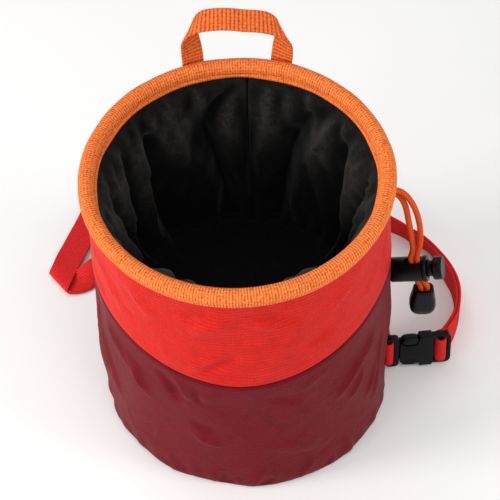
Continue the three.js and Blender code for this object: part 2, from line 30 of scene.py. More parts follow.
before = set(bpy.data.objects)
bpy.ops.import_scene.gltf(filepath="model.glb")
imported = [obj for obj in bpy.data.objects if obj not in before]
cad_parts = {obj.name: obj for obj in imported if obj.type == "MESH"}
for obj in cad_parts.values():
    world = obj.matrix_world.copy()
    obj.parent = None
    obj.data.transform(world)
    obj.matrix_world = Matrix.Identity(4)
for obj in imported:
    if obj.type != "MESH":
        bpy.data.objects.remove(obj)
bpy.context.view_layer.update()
print("frame loaded with", len(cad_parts), "nodes")

mm = 0.001
fullTurn = 2 * math.pi
scene = bpy.context.scene
scene.view_settings.view_transform = "Standard"


def linkObject(name, data):
    obj = bpy.data.objects.new(name, data)
    scene.collection.objects.link(obj)
    return obj


# Camera, light and floor

cameraView = {
    "target": (0.927, 0.0, 90.451), "elevation": 48.72, "distance": 1000.0,
    "lens": 158.855, "sensor": 36, "clip": (0.05, 20),
}
studio = {
    "world": 0.56, "floorShade": 0.86, "floorRoughness": 0.7, "floorHalf": 6.0, "floorDrop": 0.0002,
    # each lamp: place, height that it aims at, size, power, tint
    "lamps": [
        ((-0.95, -0.30, 0.45), 0.07, 0.36, 7.4, (1, 0.985, 0.96)),
        ((-0.72, -0.70, 0.50), 0.07, 0.36, 2.4, (1, 0.985, 0.96)),
        ((0.90, -0.35, 0.50), 0.07, 0.35, 3.7, (1, 1, 1)),
        ((0.45, -0.85, 0.45), 0.07, 0.35, 0.8, (1, 1, 1)),
        ((-0.42, 0.45, 1.05), 0.08, 0.50, 1.8, (1, 1, 1)),
        ((0.05, -0.40, 1.15), 0.08, 0.50, 1.9, (1, 1, 1)),
    ],
}


def placeCamera(view):
    data = bpy.data.cameras.new("photoCamera")
    data.sensor_width = view["sensor"]
    data.lens = view["lens"]
    data.clip_start, data.clip_end = view["clip"]
    camera = linkObject("photoCamera", data)
    tilt = math.radians(view["elevation"])
    away = Vector((0, -math.cos(tilt), math.sin(tilt)))
    camera.location = (Vector(view["target"]) + away * view["distance"]) * mm
    camera.rotation_euler = away.to_track_quat("Z", "Y").to_euler()
    scene.camera = camera


def lightStudio(settings):
    world = bpy.data.worlds.new("softRoom")
    world.use_nodes = True
    sky = world.node_tree.nodes["Background"]
    sky.inputs["Color"].default_value = (1, 1, 1, 1)
    sky.inputs["Strength"].default_value = settings["world"]
    scene.world = world
    for count, (at, aim, size, power, tint) in enumerate(settings["lamps"]):
        data = bpy.data.lights.new("softbox%d" % count, "AREA")
        data.shape = "SQUARE"
        data.size = size
        data.energy = power
        data.color = tint
        light = linkObject("softbox%d" % count, data)
        light.location = at
        light.rotation_euler = (Vector(at) - Vector((0, 0, aim))).to_track_quat("Z", "Y").to_euler()


def layFloor(settings):
    half = settings["floorHalf"]
    corners = [(-half, -half, 0), (half, -half, 0), (half, half, 0), (-half, half, 0)]
    mesh = bpy.data.meshes.new("floor")
    mesh.from_pydata(corners, [], [(0, 1, 2, 3)])
    floor = linkObject("floor", mesh)
    floor.location.z = -settings["floorDrop"]
    paper = bpy.data.materials.new("paleFloor")
    paper.use_nodes = True
    shader = paper.node_tree.nodes["Principled BSDF"]
    shader.inputs["Base Color"].default_value = (settings["floorShade"],) * 3 + (1,)
    shader.inputs["Roughness"].default_value = settings["floorRoughness"]
    mesh.materials.append(paper)


placeCamera(cameraView)
lightStudio(studio)
layFloor(studio)
print("camera, light and floor placed")


# Lines and meshes from grids of points

def smoothStep(value, low, high):
    t = np.clip((np.asarray(value, float) - low) / (high - low), 0, 1)
    return t * t * (3 - 2 * t)


def ringAngles(count):
    return fullTurn * np.arange(count) / count


def unitRows(rows):
    return rows / np.linalg.norm(rows, axis=1)[:, None]


def splineThrough(points, perSpan, centripetal=True):
    points = np.array(points, float)
    padded = np.vstack([2 * points[0] - points[1], points, 2 * points[-1] - points[-2]])
    steps = (np.arange(perSpan) / perSpan)[:, None]
    found = []
    for i in range(len(points) - 1):
        a, b, c, d = padded[i:i + 4]
        if centripetal:
            s, t, u = (math.sqrt(np.linalg.norm(q - p)) for p, q in ((a, b), (b, c), (c, d)))
            start = ((b - a) / s - (c - a) / (s + t) + (c - b) / t) * t
            end = ((c - b) / t - (d - b) / (t + u) + (d - c) / u) * t
        else:
            start, end = (c - a) / 2, (d - b) / 2
        found.append(b + start * steps + (3 * (c - b) - 2 * start - end) * steps ** 2
                     + (2 * (b - c) + start + end) * steps ** 3)
    return np.vstack(found + [points[-1:]])


def lengthAlong(points):
    return np.concatenate([[0], np.cumsum(np.linalg.norm(np.diff(points, axis=0), axis=1))])


def lengthRound(points):
    return lengthAlong(np.vstack([points, points[:1]]))


def evenly(points, spacing, *others):
    # the same line at even steps, with whatever goes along it
    run = lengthAlong(points)
    count = max(2, int(round(run[-1] / spacing)) + 1)
    at = np.linspace(0, run[-1], count)

    def pick(values):
        return np.stack([np.interp(at, run, values[:, k]) for k in range(values.shape[1])], -1)

    return [pick(np.asarray(v, float)) for v in (points, *others)] + [at]


def gridObject(name, grid, along, across, closed=(False, True), caps=False, floats=None):
    # grid is rows x columns x 3; along has a value for each row and across for each column, in mm
    rows, columns = grid.shape[:2]
    loopRows, loopColumns = closed
    i = np.arange(rows if loopRows else rows - 1)
    j = np.arange(columns if loopColumns else columns - 1)
    i, j = (part.ravel() for part in np.meshgrid(i, j, indexing="ij"))
    corners = [(0, 0), (1, 0), (1, 1), (0, 1)]
    quads = np.stack([((i + p) % rows) * columns + (j + q) % columns for p, q in corners], -1)
    along, across = np.asarray(along, float), np.asarray(across, float)
    spots = np.stack([np.stack([along[i + p], across[j + q]], -1) for p, q in corners], 1)
    points = grid.reshape(-1, 3)
    faces, coords = quads.tolist(), spots.reshape(-1, 2)
    if caps:
        points = np.vstack([points, grid[0].mean(0), grid[-1].mean(0)])
        for end, row in ((0, 0), (1, rows - 1)):
            middle = rows * columns + end
            for k in range(columns):
                pair = [row * columns + k, row * columns + (k + 1) % columns]
                faces.append([middle] + (pair if end == 0 else pair[::-1]))
        side = across[:columns]
        edge = [[along[0 if end == 0 else -1], value] for end in (0, 1) for k in range(columns)
                for value in (side.mean(), side[k], side[(k + 1) % columns])]
        coords = np.vstack([coords, edge])
    mesh = bpy.data.meshes.new(name)
    mesh.from_pydata((points * mm).tolist(), [], faces)
    layer = mesh.uv_layers.new(name="cloth")
    layer.data.foreach_set("uv", (coords * mm).astype(np.float32).ravel())
    for key, values in (floats or {}).items():
        store = mesh.attributes.new(key, "FLOAT", "POINT")
        full = np.zeros(len(points), np.float32)
        full[:rows * columns] = np.broadcast_to(values, (rows, columns)).ravel()
        store.data.foreach_set("value", full)
    mesh.shade_smooth()
    obj = linkObject(name, mesh)
    faceOutwards(mesh)
    return obj


def faceOutwards(mesh):
    # a closed mesh with a negative volume is inside out
    mesh.calc_loop_triangles()
    points = np.zeros(len(mesh.vertices) * 3)
    mesh.vertices.foreach_get("co", points)
    corner = np.zeros(len(mesh.loop_triangles) * 3, int)
    mesh.loop_triangles.foreach_get("vertices", corner)
    a, b, c = points.reshape(-1, 3)[corner.reshape(-1, 3)].transpose(1, 0, 2)
    if (a * np.cross(b, c)).sum() < 0:
        mesh.flip_normals()


def moveMesh(obj, place):
    # place is a matrix in millimetres
    obj.data.transform(Matrix.Scale(mm, 4) @ place @ Matrix.Scale(1 / mm, 4))
    return obj


def plainResult(obj):
    # the evaluated mesh takes the place of the object's own, and its modifiers go
    graph = bpy.context.evaluated_depsgraph_get()
    made = bpy.data.meshes.new_from_object(obj.evaluated_get(graph), preserve_all_data_layers=True,
                                           depsgraph=graph)
    obj.modifiers.clear()
    old = obj.data
    obj.data = made
    made.name = obj.name
    bpy.data.meshes.remove(old)
    return obj


def combine(obj, other, operation):
    modifier = obj.modifiers.new("combined", "BOOLEAN")
    modifier.operation = operation
    modifier.solver = "EXACT"
    modifier.object = other
    plainResult(obj)
    bpy.data.objects.remove(other)


# Geometry Nodes: ribs raised on a woven tape, and stitches along a line

def addNode(tree, kind, **settings):
    node = tree.nodes.new(kind)
    for key, value in settings.items():
        setattr(node, key, value)
    return node


def addMath(tree, operation, first, second=None):
    node = addNode(tree, "ShaderNodeMath", operation=operation)
    for socket, value in zip(node.inputs, (first, second)):
        if value is None:
            continue
        if isinstance(value, (int, float)):
            socket.default_value = value
        else:
            tree.links.new(value, socket)
    return node.outputs[0]


def addAttribute(tree, name, kind):
    node = addNode(tree, "GeometryNodeInputNamedAttribute", data_type=kind)
    node.inputs["Name"].default_value = name
    return node.outputs["Attribute"]


def newNodeTree(name, numbers):
    tree = bpy.data.node_groups.new(name, "GeometryNodeTree")
    face = tree.interface
    face.new_socket("Geometry", in_out="INPUT", socket_type="NodeSocketGeometry")
    face.new_socket("Geometry", in_out="OUTPUT", socket_type="NodeSocketGeometry")
    for key in numbers:
        face.new_socket(key, in_out="INPUT", socket_type="NodeSocketFloat")
    face.new_socket("Material", in_out="INPUT", socket_type="NodeSocketMaterial")
    return tree, addNode(tree, "NodeGroupInput"), addNode(tree, "NodeGroupOutput")


def closeNodeTree(tree, start, end, geometry):
    link = tree.links.new
    solid = addNode(tree, "GeometryNodeRealizeInstances")
    paint = addNode(tree, "GeometryNodeSetMaterial")
    link(geometry, solid.inputs["Geometry"])
    link(solid.outputs[0], paint.inputs["Geometry"])
    link(start.outputs["Material"], paint.inputs["Material"])
    link(paint.outputs[0], end.inputs["Geometry"])
    return tree


def makeRibTree():
    # raises round ribs where the attribute ribPlace, in metres, runs across them
    tree, start, end = newNodeTree("tapeRibs", ["Pitch", "Depth"])
    link = tree.links.new
    turns = addMath(tree, "DIVIDE", addAttribute(tree, "ribPlace", "FLOAT"), start.outputs["Pitch"])
    wave = addMath(tree, "ABSOLUTE", addMath(tree, "SINE", addMath(tree, "MULTIPLY", turns, math.pi)))
    lift = addMath(tree, "SUBTRACT", addMath(tree, "POWER", wave, 0.8), 0.6)
    lift = addMath(tree, "MULTIPLY", lift, start.outputs["Depth"])
    lift = addMath(tree, "MULTIPLY", lift, addAttribute(tree, "ribMask", "FLOAT"))
    outward = addNode(tree, "ShaderNodeVectorMath", operation="SCALE")
    link(addNode(tree, "GeometryNodeInputNormal").outputs["Normal"], outward.inputs[0])
    link(lift, outward.inputs["Scale"])
    move = addNode(tree, "GeometryNodeSetPosition")
    link(start.outputs["Geometry"], move.inputs["Geometry"])
    link(outward.outputs[0], move.inputs["Offset"])
    return closeNodeTree(tree, start, end, move.outputs["Geometry"])


def makeStitchTree():
    # one thread stitch at each step along the edges, lying on the surface that the attribute facing gives
    tree, start, end = newNodeTree("sewnLine", ["Step", "Length", "Thread"])
    link = tree.links.new
    curve = addNode(tree, "GeometryNodeMeshToCurve")
    link(start.outputs["Geometry"], curve.inputs["Mesh"])
    spread = addNode(tree, "GeometryNodeResampleCurve", mode="LENGTH")
    link(curve.outputs[0], spread.inputs["Curve"])
    link(start.outputs["Step"], spread.inputs["Length"])
    ball = addNode(tree, "GeometryNodeMeshIcoSphere")
    ball.inputs["Radius"].default_value = 0.5
    ball.inputs["Subdivisions"].default_value = 2
    size = addNode(tree, "ShaderNodeCombineXYZ")
    for key, axis in (("Length", "X"), ("Thread", "Y"), ("Thread", "Z")):
        link(start.outputs[key], size.inputs[axis])
    shape = addNode(tree, "GeometryNodeTransform")
    link(ball.outputs["Mesh"], shape.inputs["Geometry"])
    link(size.outputs[0], shape.inputs["Scale"])
    flat = addNode(tree, "FunctionNodeAlignRotationToVector", axis="Z")
    link(addAttribute(tree, "facing", "FLOAT_VECTOR"), flat.inputs["Vector"])
    turn = addNode(tree, "FunctionNodeAlignRotationToVector", axis="X", pivot_axis="Z")
    link(flat.outputs[0], turn.inputs["Rotation"])
    link(addNode(tree, "GeometryNodeInputTangent").outputs[0], turn.inputs["Vector"])
    place = addNode(tree, "GeometryNodeInstanceOnPoints")
    link(spread.outputs[0], place.inputs["Points"])
    link(shape.outputs[0], place.inputs["Instance"])
    link(turn.outputs[0], place.inputs["Rotation"])
    return closeNodeTree(tree, start, end, place.outputs[0])


def runTree(obj, tree, material, **sizes):
    modifier = obj.modifiers.new("nodes", "NODES")
    modifier.node_group = tree
    for item in tree.interface.items_tree:
        if item.in_out == "INPUT" and item.name in sizes:
            modifier[item.identifier] = sizes[item.name] * mm
        if item.in_out == "INPUT" and item.name == "Material":
            modifier[item.identifier] = material
    return plainResult(obj)


ribTree = makeRibTree()
stitchTree = makeStitchTree()


# Materials

def linear(red, green, blue):
    spread = [c / 255 for c in (red, green, blue)]
    return tuple(c / 12.92 if c <= 0.04045 else ((c + 0.055) / 1.055) ** 2.4 for c in spread) + (1,)


class Finish:
    # one material: its shader and the nodes that feed it
    def __init__(self, name, roughness, specular, sheen=0.0, sheenRoughness=0.4, sheenTint=(1, 1, 1, 1)):
        self.material = bpy.data.materials.new(name)
        self.material.use_nodes = True
        self.tree = self.material.node_tree
        self.link = self.tree.links.new
        self.shader = self.tree.nodes["Principled BSDF"]
        values = {"Roughness": roughness, "Specular IOR Level": specular, "Sheen Weight": sheen,
                  "Sheen Roughness": sheenRoughness, "Sheen Tint": sheenTint}
        for key, value in values.items():
            self.shader.inputs[key].default_value = value

    def times(self, first, second):
        return addMath(self.tree, "MULTIPLY", first, second)

    def plus(self, first, second):
        return addMath(self.tree, "ADD", first, second)

    def power(self, base, exponent):
        return addMath(self.tree, "POWER", base, exponent)

    def ridges(self, phase):
        # 0 at each whole number of half turns and 1 between two
        return addMath(self.tree, "ABSOLUTE", addMath(self.tree, "SINE", phase))

    def clothCoords(self):
        uv = addNode(self.tree, "ShaderNodeUVMap", uv_map="cloth")
        parts = addNode(self.tree, "ShaderNodeSeparateXYZ")
        self.link(uv.outputs["UV"], parts.inputs[0])
        return parts.outputs["X"], parts.outputs["Y"]

    def noise(self, scale, detail=2.0, roughness=0.5):
        place = addNode(self.tree, "ShaderNodeTexCoord")
        cloud = addNode(self.tree, "ShaderNodeTexNoise")
        cloud.inputs["Scale"].default_value = scale
        cloud.inputs["Detail"].default_value = detail
        cloud.inputs["Roughness"].default_value = roughness
        self.link(place.outputs["Object"], cloud.inputs["Vector"])
        return cloud.outputs["Fac"]

    def threads(self, coordinate, pitch, sharpness):
        # rises to 1 on the middle of each thread and falls to 0 between two
        return self.power(self.ridges(self.times(coordinate, math.pi / (pitch * mm))), sharpness)

    def total(self, *parts):
        # sum of the outputs, each with its share
        found = None
        for value, share in parts:
            part = self.times(value, share)
            found = part if found is None else self.plus(found, part)
        return found

    def paint(self, amount, low, high):
        mix = addNode(self.tree, "ShaderNodeMix", data_type="RGBA")
        colours = [s for s in mix.inputs if s.type == "RGBA"]
        colours[0].default_value, colours[1].default_value = low, high
        self.link(amount, mix.inputs["Factor"])
        mixed = [s for s in mix.outputs if s.type == "RGBA"][0]
        self.link(mixed, self.shader.inputs["Base Color"])

    def rough(self, amount, low, high):
        spread = addNode(self.tree, "ShaderNodeMapRange")
        spread.inputs["To Min"].default_value = low
        spread.inputs["To Max"].default_value = high
        self.link(amount, spread.inputs["Value"])
        self.link(spread.outputs[0], self.shader.inputs["Roughness"])

    def bump(self, height, strength, depth):
        node = addNode(self.tree, "ShaderNodeBump")
        node.inputs["Strength"].default_value = strength
        node.inputs["Distance"].default_value = depth * mm
        self.link(height, node.inputs["Height"])
        self.link(node.outputs[0], self.shader.inputs["Normal"])


def nylon(name, dark, light):
    # plain weave whose weft shows as fine level lines, lightly crinkled
    finish = Finish(name, 0.65, 0.09, sheen=0.02, sheenRoughness=0.45, sheenTint=(1, 0.8, 0.76, 1))
    along, across = finish.clothCoords()
    wander = finish.times(finish.noise(55, 2), 3.0 * mm)
    weft = finish.threads(finish.plus(along, wander), 1.6, 0.9)
    weft = finish.times(weft, finish.times(finish.noise(140, 2), 2.0))
    warp = finish.threads(across, 0.95, 0.9)
    cloud = finish.noise(95, 4, 0.6)
    slub = finish.noise(950, 2, 0.6)
    mixed = finish.total((weft, 0.2), (warp, 0.1), (slub, 0.5), (cloud, 0.12))
    finish.paint(finish.plus(mixed, 0.06), dark, light)
    finish.rough(cloud, 0.46, 0.62)
    finish.bump(finish.total((weft, 0.6), (warp, 0.4), (slub, 0.5), (cloud, 3.0)), 0.8, 0.3)
    return finish.material


def grosgrain(name, dark, light, pitch, alongTape, thread, ribShare=0.75, grain=0.8):
    # cross ribs or lengthwise ribs with painted shade between them, and fine threads over them
    finish = Finish(name, 0.7, 0.08, sheen=0.03, sheenTint=light)
    along, across = finish.clothCoords()
    ribAxis, threadAxis = (along, across) if alongTape else (across, along)
    wander = finish.times(finish.noise(420, 2), 0.5 * mm)
    rib = finish.threads(finish.plus(ribAxis, wander), pitch, 0.75)
    fine = finish.threads(finish.plus(threadAxis, wander), thread, 0.8)
    slub = finish.noise(900, 3, 0.65)
    # the ribs' share paints shade between the ribs into the colour
    mixed = finish.total((rib, ribShare), (fine, 0.2), (slub, grain))
    level = 0.5 * grain + 0.55 * ribShare - 0.45  # keeps the mean tone whatever the shares
    finish.paint(addMath(finish.tree, "SUBTRACT", mixed, level), dark, light)
    finish.rough(slub, 0.6, 0.8)
    finish.bump(finish.total((fine, 1.0), (slub, 1.0)), 0.7, 0.16)
    return finish.material


def fleece(name, dark, light):
    # the named attribute holds painted light and shade: how much of the light colour shows, lighter on the
    # lining's crests and darker in its valleys and low down
    finish = Finish(name, 0.9, 0.08, sheen=0.1, sheenRoughness=0.5, sheenTint=(0.6, 0.6, 0.6, 1))
    paintedLight = addNode(finish.tree, "ShaderNodeAttribute", attribute_name="paintedLight").outputs["Fac"]
    hair = finish.noise(900, 4, 0.75)
    tufts = finish.noise(330, 3, 0.6)
    mixed = finish.total((hair, 0.55), (tufts, 0.45))
    contrast = finish.power(finish.times(mixed, 2.0), 3.0)
    # the colour mixes in the painted light and shade from the attribute
    finish.paint(finish.times(contrast, paintedLight), dark, light)
    finish.rough(tufts, 0.82, 1.0)
    finish.bump(mixed, 0.8, 0.7)
    return finish.material


def mouldedPlastic(name, shade, roughness):
    finish = Finish(name, roughness, 0.17)
    grain = finish.noise(1800, 3, 0.6)
    finish.paint(finish.noise(120, 2), tuple(c * 0.75 for c in shade[:3]) + (1,), shade)
    finish.rough(grain, roughness - 0.08, roughness + 0.1)
    finish.bump(grain, 0.12, 0.05)
    return finish.material


def braid(name, dark, light, lay, strands):
    # the first coordinate runs along the cord and the second round it; two sets of strands cross, and the
    # colour is painted darker in the gaps between them, as shade
    finish = Finish(name, 0.6, 0.15, sheen=0.04, sheenTint=light)
    along, around = finish.clothCoords()
    turns = finish.times(along, 1 / (lay * mm))
    spin = finish.times(around, strands / mm)
    phases = [finish.plus(finish.times(turns, sign * strands), spin) for sign in (1, -1)]
    crossed = finish.times(*(finish.ridges(finish.times(phase, math.pi)) for phase in phases))
    slub = finish.noise(1200, 2)
    # the crossed strands paint shade into the gaps between them
    finish.paint(finish.total((crossed, 0.75), (slub, 0.35)), dark, light)
    finish.bump(slub, 0.3, 0.06)
    return finish.material


ribPitch = {"tape": 1.2416, "loop": 1.85, "belt": 1.6875}
braidLay = {"lay": 9.6, "strands": 6}
looks = {
    "red_nylon": nylon("redNylon", linear(122, 3, 4), linear(229, 37, 28)),
    "maroon_nylon": nylon("maroonNylon", linear(50, 2, 8), linear(125, 18, 30)),
    "orange_tape": grosgrain("orangeTape", linear(158, 42, 8), linear(237, 131, 65),
                             ribPitch["tape"], True, 1.5, grain=2.0),
    "orange_loop": grosgrain("orangeLoop", linear(132, 32, 6), linear(228, 114, 56),
                             ribPitch["loop"], True, 1.5, grain=1.4),
    "red_webbing": grosgrain("redWebbing", linear(140, 8, 13), linear(233, 48, 48),
                             ribPitch["belt"], False, 0.5, ribShare=0.4),
    "black_fleece": fleece("blackFleece", linear(1, 1, 1), linear(42, 40, 38)),
    "black_plastic": mouldedPlastic("blackPlastic", linear(3, 3, 3), 0.32),
    "orange_cord": braid("orangeCord", linear(150, 24, 2), linear(240, 98, 24), **braidLay),
    "orange_thread": mouldedPlastic("orangeThread", linear(214, 86, 34), 0.6),
    "red_thread": mouldedPlastic("redThread", linear(170, 20, 26), 0.6),
}
print("materials made:", len(looks))


def settle(obj, slot, body="bag", nodes=(), painted=False):
    # material, material slot, body and the nodes that the piece stands for
    if not painted:
        obj.data.materials.clear()
        obj.data.materials.append(looks[slot])
    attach(obj, body)
    if nodes:
        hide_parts(*nodes)
    return obj


# Drawcord, its lock and its end piece

lockSize = {
    "centre": (76.3, 0.0, 77.5), "axis": (0.958, -0.155, 0.24),
    # along the axis from the centre
    "closedEnd": -11.2, "boreEnd": -8.2, "collarStart": 4.1, "collarRise": 0.4, "openEnd": 6.2,
    "stemEnd": -5.4, "capStart": 8.9, "capEnd": 13.3, "dishDepth": 0.25, "travel": 2.4,
    # radii and roundings
    "barrel": 5.8, "bore": 4.0, "collar": 6.15, "stem": 3.7, "cap": 5.4, "dish": 3.2,
    "barrelRound": 0.8, "plungerRound": 1.0, "segments": 64, "sharpAngle": 38,
    # slot that the strands go through
    "slotHalf": 1.85, "slotReach": 3.9, "slotSpare": 0.4, "slotDeep": 12, "slotSteps": 12,
}
cordSize = {
    "diameter": 2.8, "strandStep": 2.85, "strandShift": 1.0, "spacing": 0.26, "around": 32,
    "braidDepth": 0.12, "levelsInLock": (7.5, 3, -3, -7), "levelsInEnd": (0.8, -6.2), "endSpread": 0.05,
    "outer": [(63.9, -3.2, 134.0), (66.6, -2.6, 132.4), (69.3, -2.2, 129.6), (73.2, -1.4, 121.8),
              (75.9, -0.8, 112.6), (77.4, -0.4, 103.2), (77.7, -0.2, 94.5)],
    "inner": [(63.9, -1.2, 130.2), (66.6, -0.9, 127.6), (69.4, -0.6, 121.6), (71.9, -0.2, 109.4),
              (73.8, 0.1, 98.0), (74.8, 0.3, 90.2)],
    "outerLength": 0.081, "innerLength": 0.0755,
}
endSize = {
    "foot": (81.2, -0.3, 47.6), "height": 16.8, "sides": 56, "corner": 0.58, "pocketCorner": 0.8,
    "sharpAngle": 50,
    # half width, half depth and height, up the outside and then down into the pocket
    "rows": [(1.6, 1.2, 0.0), (2.9, 2.1, 0.35), (4.1, 3.0, 1.15), (5.1, 3.8, 2.4), (5.8, 4.35, 4.0),
             (6.15, 4.6, 6.0), (6.1, 4.55, 7.8), (5.75, 4.35, 10.4), (5.25, 4.12, 12.9), (4.9, 4.0, 15.0),
             (4.75, 3.88, 16.0), (4.45, 3.6, 16.6), (4.1, 3.2, 16.8)],
    "pocket": [(3.6, 2.15, 16.7), (3.45, 1.98, 16.3), (3.4, 1.95, 14.0), (3.4, 1.95, 9.8)],
}


def lockMatrix():
    along = Vector(lockSize["axis"]).normalized()
    up = Vector((0, 0, 1))
    up = (up - along * up.dot(along)).normalized()
    turn = Matrix((along, up.cross(along), up)).transposed().to_4x4()
    turn.translation = Vector(lockSize["centre"])
    return turn


def cordRoute(side, above):
    s = cordSize
    half = s["strandStep"] / 2
    place = lockMatrix()
    across = side * half + s["strandShift"]
    inLock = [tuple(place @ Vector((across, 0, level))) for level in s["levelsInLock"]]
    x, y, z = endSize["foot"]
    inEnd = [(x + side * (half + s["endSpread"]), y, z + (endSize["height"] + level))
             for level in s["levelsInEnd"]]
    return evenly(splineThrough(above + inLock + inEnd, 30), s["spacing"])


def framesAlong(points):
    # two directions across a line, carried along it without twisting
    ahead = unitRows(np.gradient(points, axis=0))
    side = np.cross(ahead[0], (0, 1, 0))
    sides = []
    for direction in ahead:
        side = side - direction * side.dot(direction)
        side = side / np.linalg.norm(side)
        sides.append(side)
    return np.array(sides), np.cross(ahead, sides)


def makeCord(name, side, above):
    s = cordSize
    line, run = cordRoute(side, above)
    first, second = framesAlong(line)
    turn = np.arange(s["around"]) / s["around"]
    phase = braidLay["strands"] * (run[:, None] / braidLay["lay"])
    spin = braidLay["strands"] * turn[None, :]
    left, right = (np.sin(math.pi * (sign * phase + spin)) ** 2 for sign in (1, -1))
    over = 0.5 + 0.5 * np.sin(fullTurn * phase) * np.cos(fullTurn * spin)  # which set lies on top
    lift = np.maximum(left * (0.55 + 0.45 * over), right * (1.0 - 0.45 * over))
    radius = s["diameter"] / 2 - s["braidDepth"] * (1 - lift)
    angle = fullTurn * turn
    ring = np.cos(angle)[None, :, None] * first[:, None] + np.sin(angle)[None, :, None] * second[:, None]
    grid = line[:, None] + ring * radius[:, :, None]
    obj = gridObject(name, grid, run, np.arange(s["around"] + 1) / s["around"], caps=True)
    print(name, "is %.1f mm long" % run[-1])
    return obj, line * mm


def spunObject(name, profile, segments, place):
    # profile is (along the axis, radius), starting and ending on the axis
    angle = ringAngles(segments)
    inner = np.array(profile[1:-1], float)
    long, radius = np.repeat(inner[:, :1], segments, 1), inner[:, 1:]
    grid = np.stack([long, radius * np.cos(angle), radius * np.sin(angle)], -1)
    obj = gridObject(name, grid, lengthAlong(inner), 5.0 * np.append(angle, fullTurn), caps=True)
    for end, (long, _) in enumerate((profile[0], profile[-1])):
        obj.data.vertices[len(inner) * segments + end].co = Vector((long, 0, 0)) * mm
    return moveMesh(obj, place)


def roundOff(profile, radius, steps=4):
    # the profile with each inner corner rounded by a short arc
    points = [np.array(p, float) for p in profile]
    out = [points[0]]
    for before, corner, after in zip(points, points[1:], points[2:]):
        back, ahead = before - corner, after - corner
        reach = min(radius, 0.45 * np.linalg.norm(back), 0.45 * np.linalg.norm(ahead))
        start = corner + back / np.linalg.norm(back) * reach
        end = corner + ahead / np.linalg.norm(ahead) * reach
        for t in np.linspace(0, 1, steps + 1):
            out.append((1 - t) ** 2 * start + 2 * t * (1 - t) * corner + t ** 2 * end)
    return out + [points[-1]]


def slotCutter(reachOut, place):
    # stadium prism right through the lock, across its axis
    s = lockSize
    half, deep = s["slotHalf"], s["slotDeep"]
    turn = np.linspace(-math.pi / 2, math.pi / 2, s["slotSteps"])
    right = np.stack([reachOut - half + half * np.cos(turn), half * np.sin(turn)], -1)
    left = np.stack([-s["slotReach"] + half - half * np.cos(turn), -half * np.sin(turn)], -1)
    outline = np.vstack([right, left])
    grid = np.stack([np.column_stack([outline, np.full(len(outline), level)]) for level in (-deep, deep)])
    cutter = gridObject("slotCutter", grid, [0, 2 * deep], np.arange(len(outline) + 1), caps=True)
    return moveMesh(cutter, place)


def makeLock():
    s = lockSize
    place = lockMatrix()
    barrel = [(s["closedEnd"], 0), (s["closedEnd"], s["barrel"]), (s["collarStart"], s["barrel"]),
              (s["collarStart"] + s["collarRise"], s["collar"]), (s["openEnd"], s["collar"]),
              (s["openEnd"], s["bore"]), (s["boreEnd"], s["bore"]), (s["boreEnd"], 0)]
    barrel = spunObject("cordLockBarrel", roundOff(barrel, s["barrelRound"]), s["segments"], place)
    combine(barrel, slotCutter(s["slotReach"], place), "DIFFERENCE")
    dish = s["capEnd"] - s["dishDepth"]
    plunger = [(s["stemEnd"], 0), (s["stemEnd"], s["stem"]), (s["capStart"], s["stem"]),
               (s["capStart"], s["cap"]), (s["capEnd"], s["cap"]), (dish, s["dish"]), (dish, 0)]
    plunger = spunObject("cordLockPlunger", roundOff(plunger, s["plungerRound"]), s["segments"], place)
    combine(plunger, slotCutter(s["slotReach"] + s["travel"] + s["slotSpare"], place), "DIFFERENCE")
    for obj in (barrel, plunger):
        obj.data.shade_smooth()
        obj.data.set_sharp_from_angle(angle=math.radians(s["sharpAngle"]))
    return barrel, plunger


def squared(values, corner):
    # a circle's sine or cosine, drawn out towards the corners of a square
    return np.sign(values) * np.abs(values) ** corner


def makeCordEnd():
    # bell with squared sides, closed round the pocket that the strands go into
    s = endSize
    angle = ringAngles(s["sides"])
    rings = []
    for rows, corner in ((s["rows"], s["corner"]), (s["pocket"], s["pocketCorner"])):
        wide, deep = squared(np.cos(angle), corner), squared(np.sin(angle), corner)
        rings += [np.stack([half * wide, depth * deep, np.full(len(angle), z)], -1)
                  for half, depth, z in rows]
    grid = np.array(rings) + np.array(s["foot"])
    obj = gridObject("cordEnd", grid, lengthAlong(grid[:, 0]), np.arange(s["sides"] + 1) * 0.6, caps=True)
    obj.data.set_sharp_from_angle(angle=math.radians(s["sharpAngle"]))
    return obj


lockBarrel, lockPlunger = makeLock()
cordEnd = makeCordEnd()
settle(lockBarrel, "black_plastic", nodes=["cord_lock_barrel"])
settle(lockPlunger, "black_plastic", body="plunger", nodes=["cord_lock_plunger"])
settle(cordEnd, "black_plastic", nodes=["cord_end"])
outerCord, outerLine = makeCord("drawcordOuter", 1, cordSize["outer"])
innerCord, innerLine = makeCord("drawcordInner", -1, cordSize["inner"])
settle(outerCord, "orange_cord", nodes=["drawcord_outer"])
settle(innerCord, "orange_cord", nodes=["drawcord_inner"])
tuple(outerLine[0])
tuple(innerLine[0])
print("drawcord, lock and end piece made")


# Cloth walls, base and binding

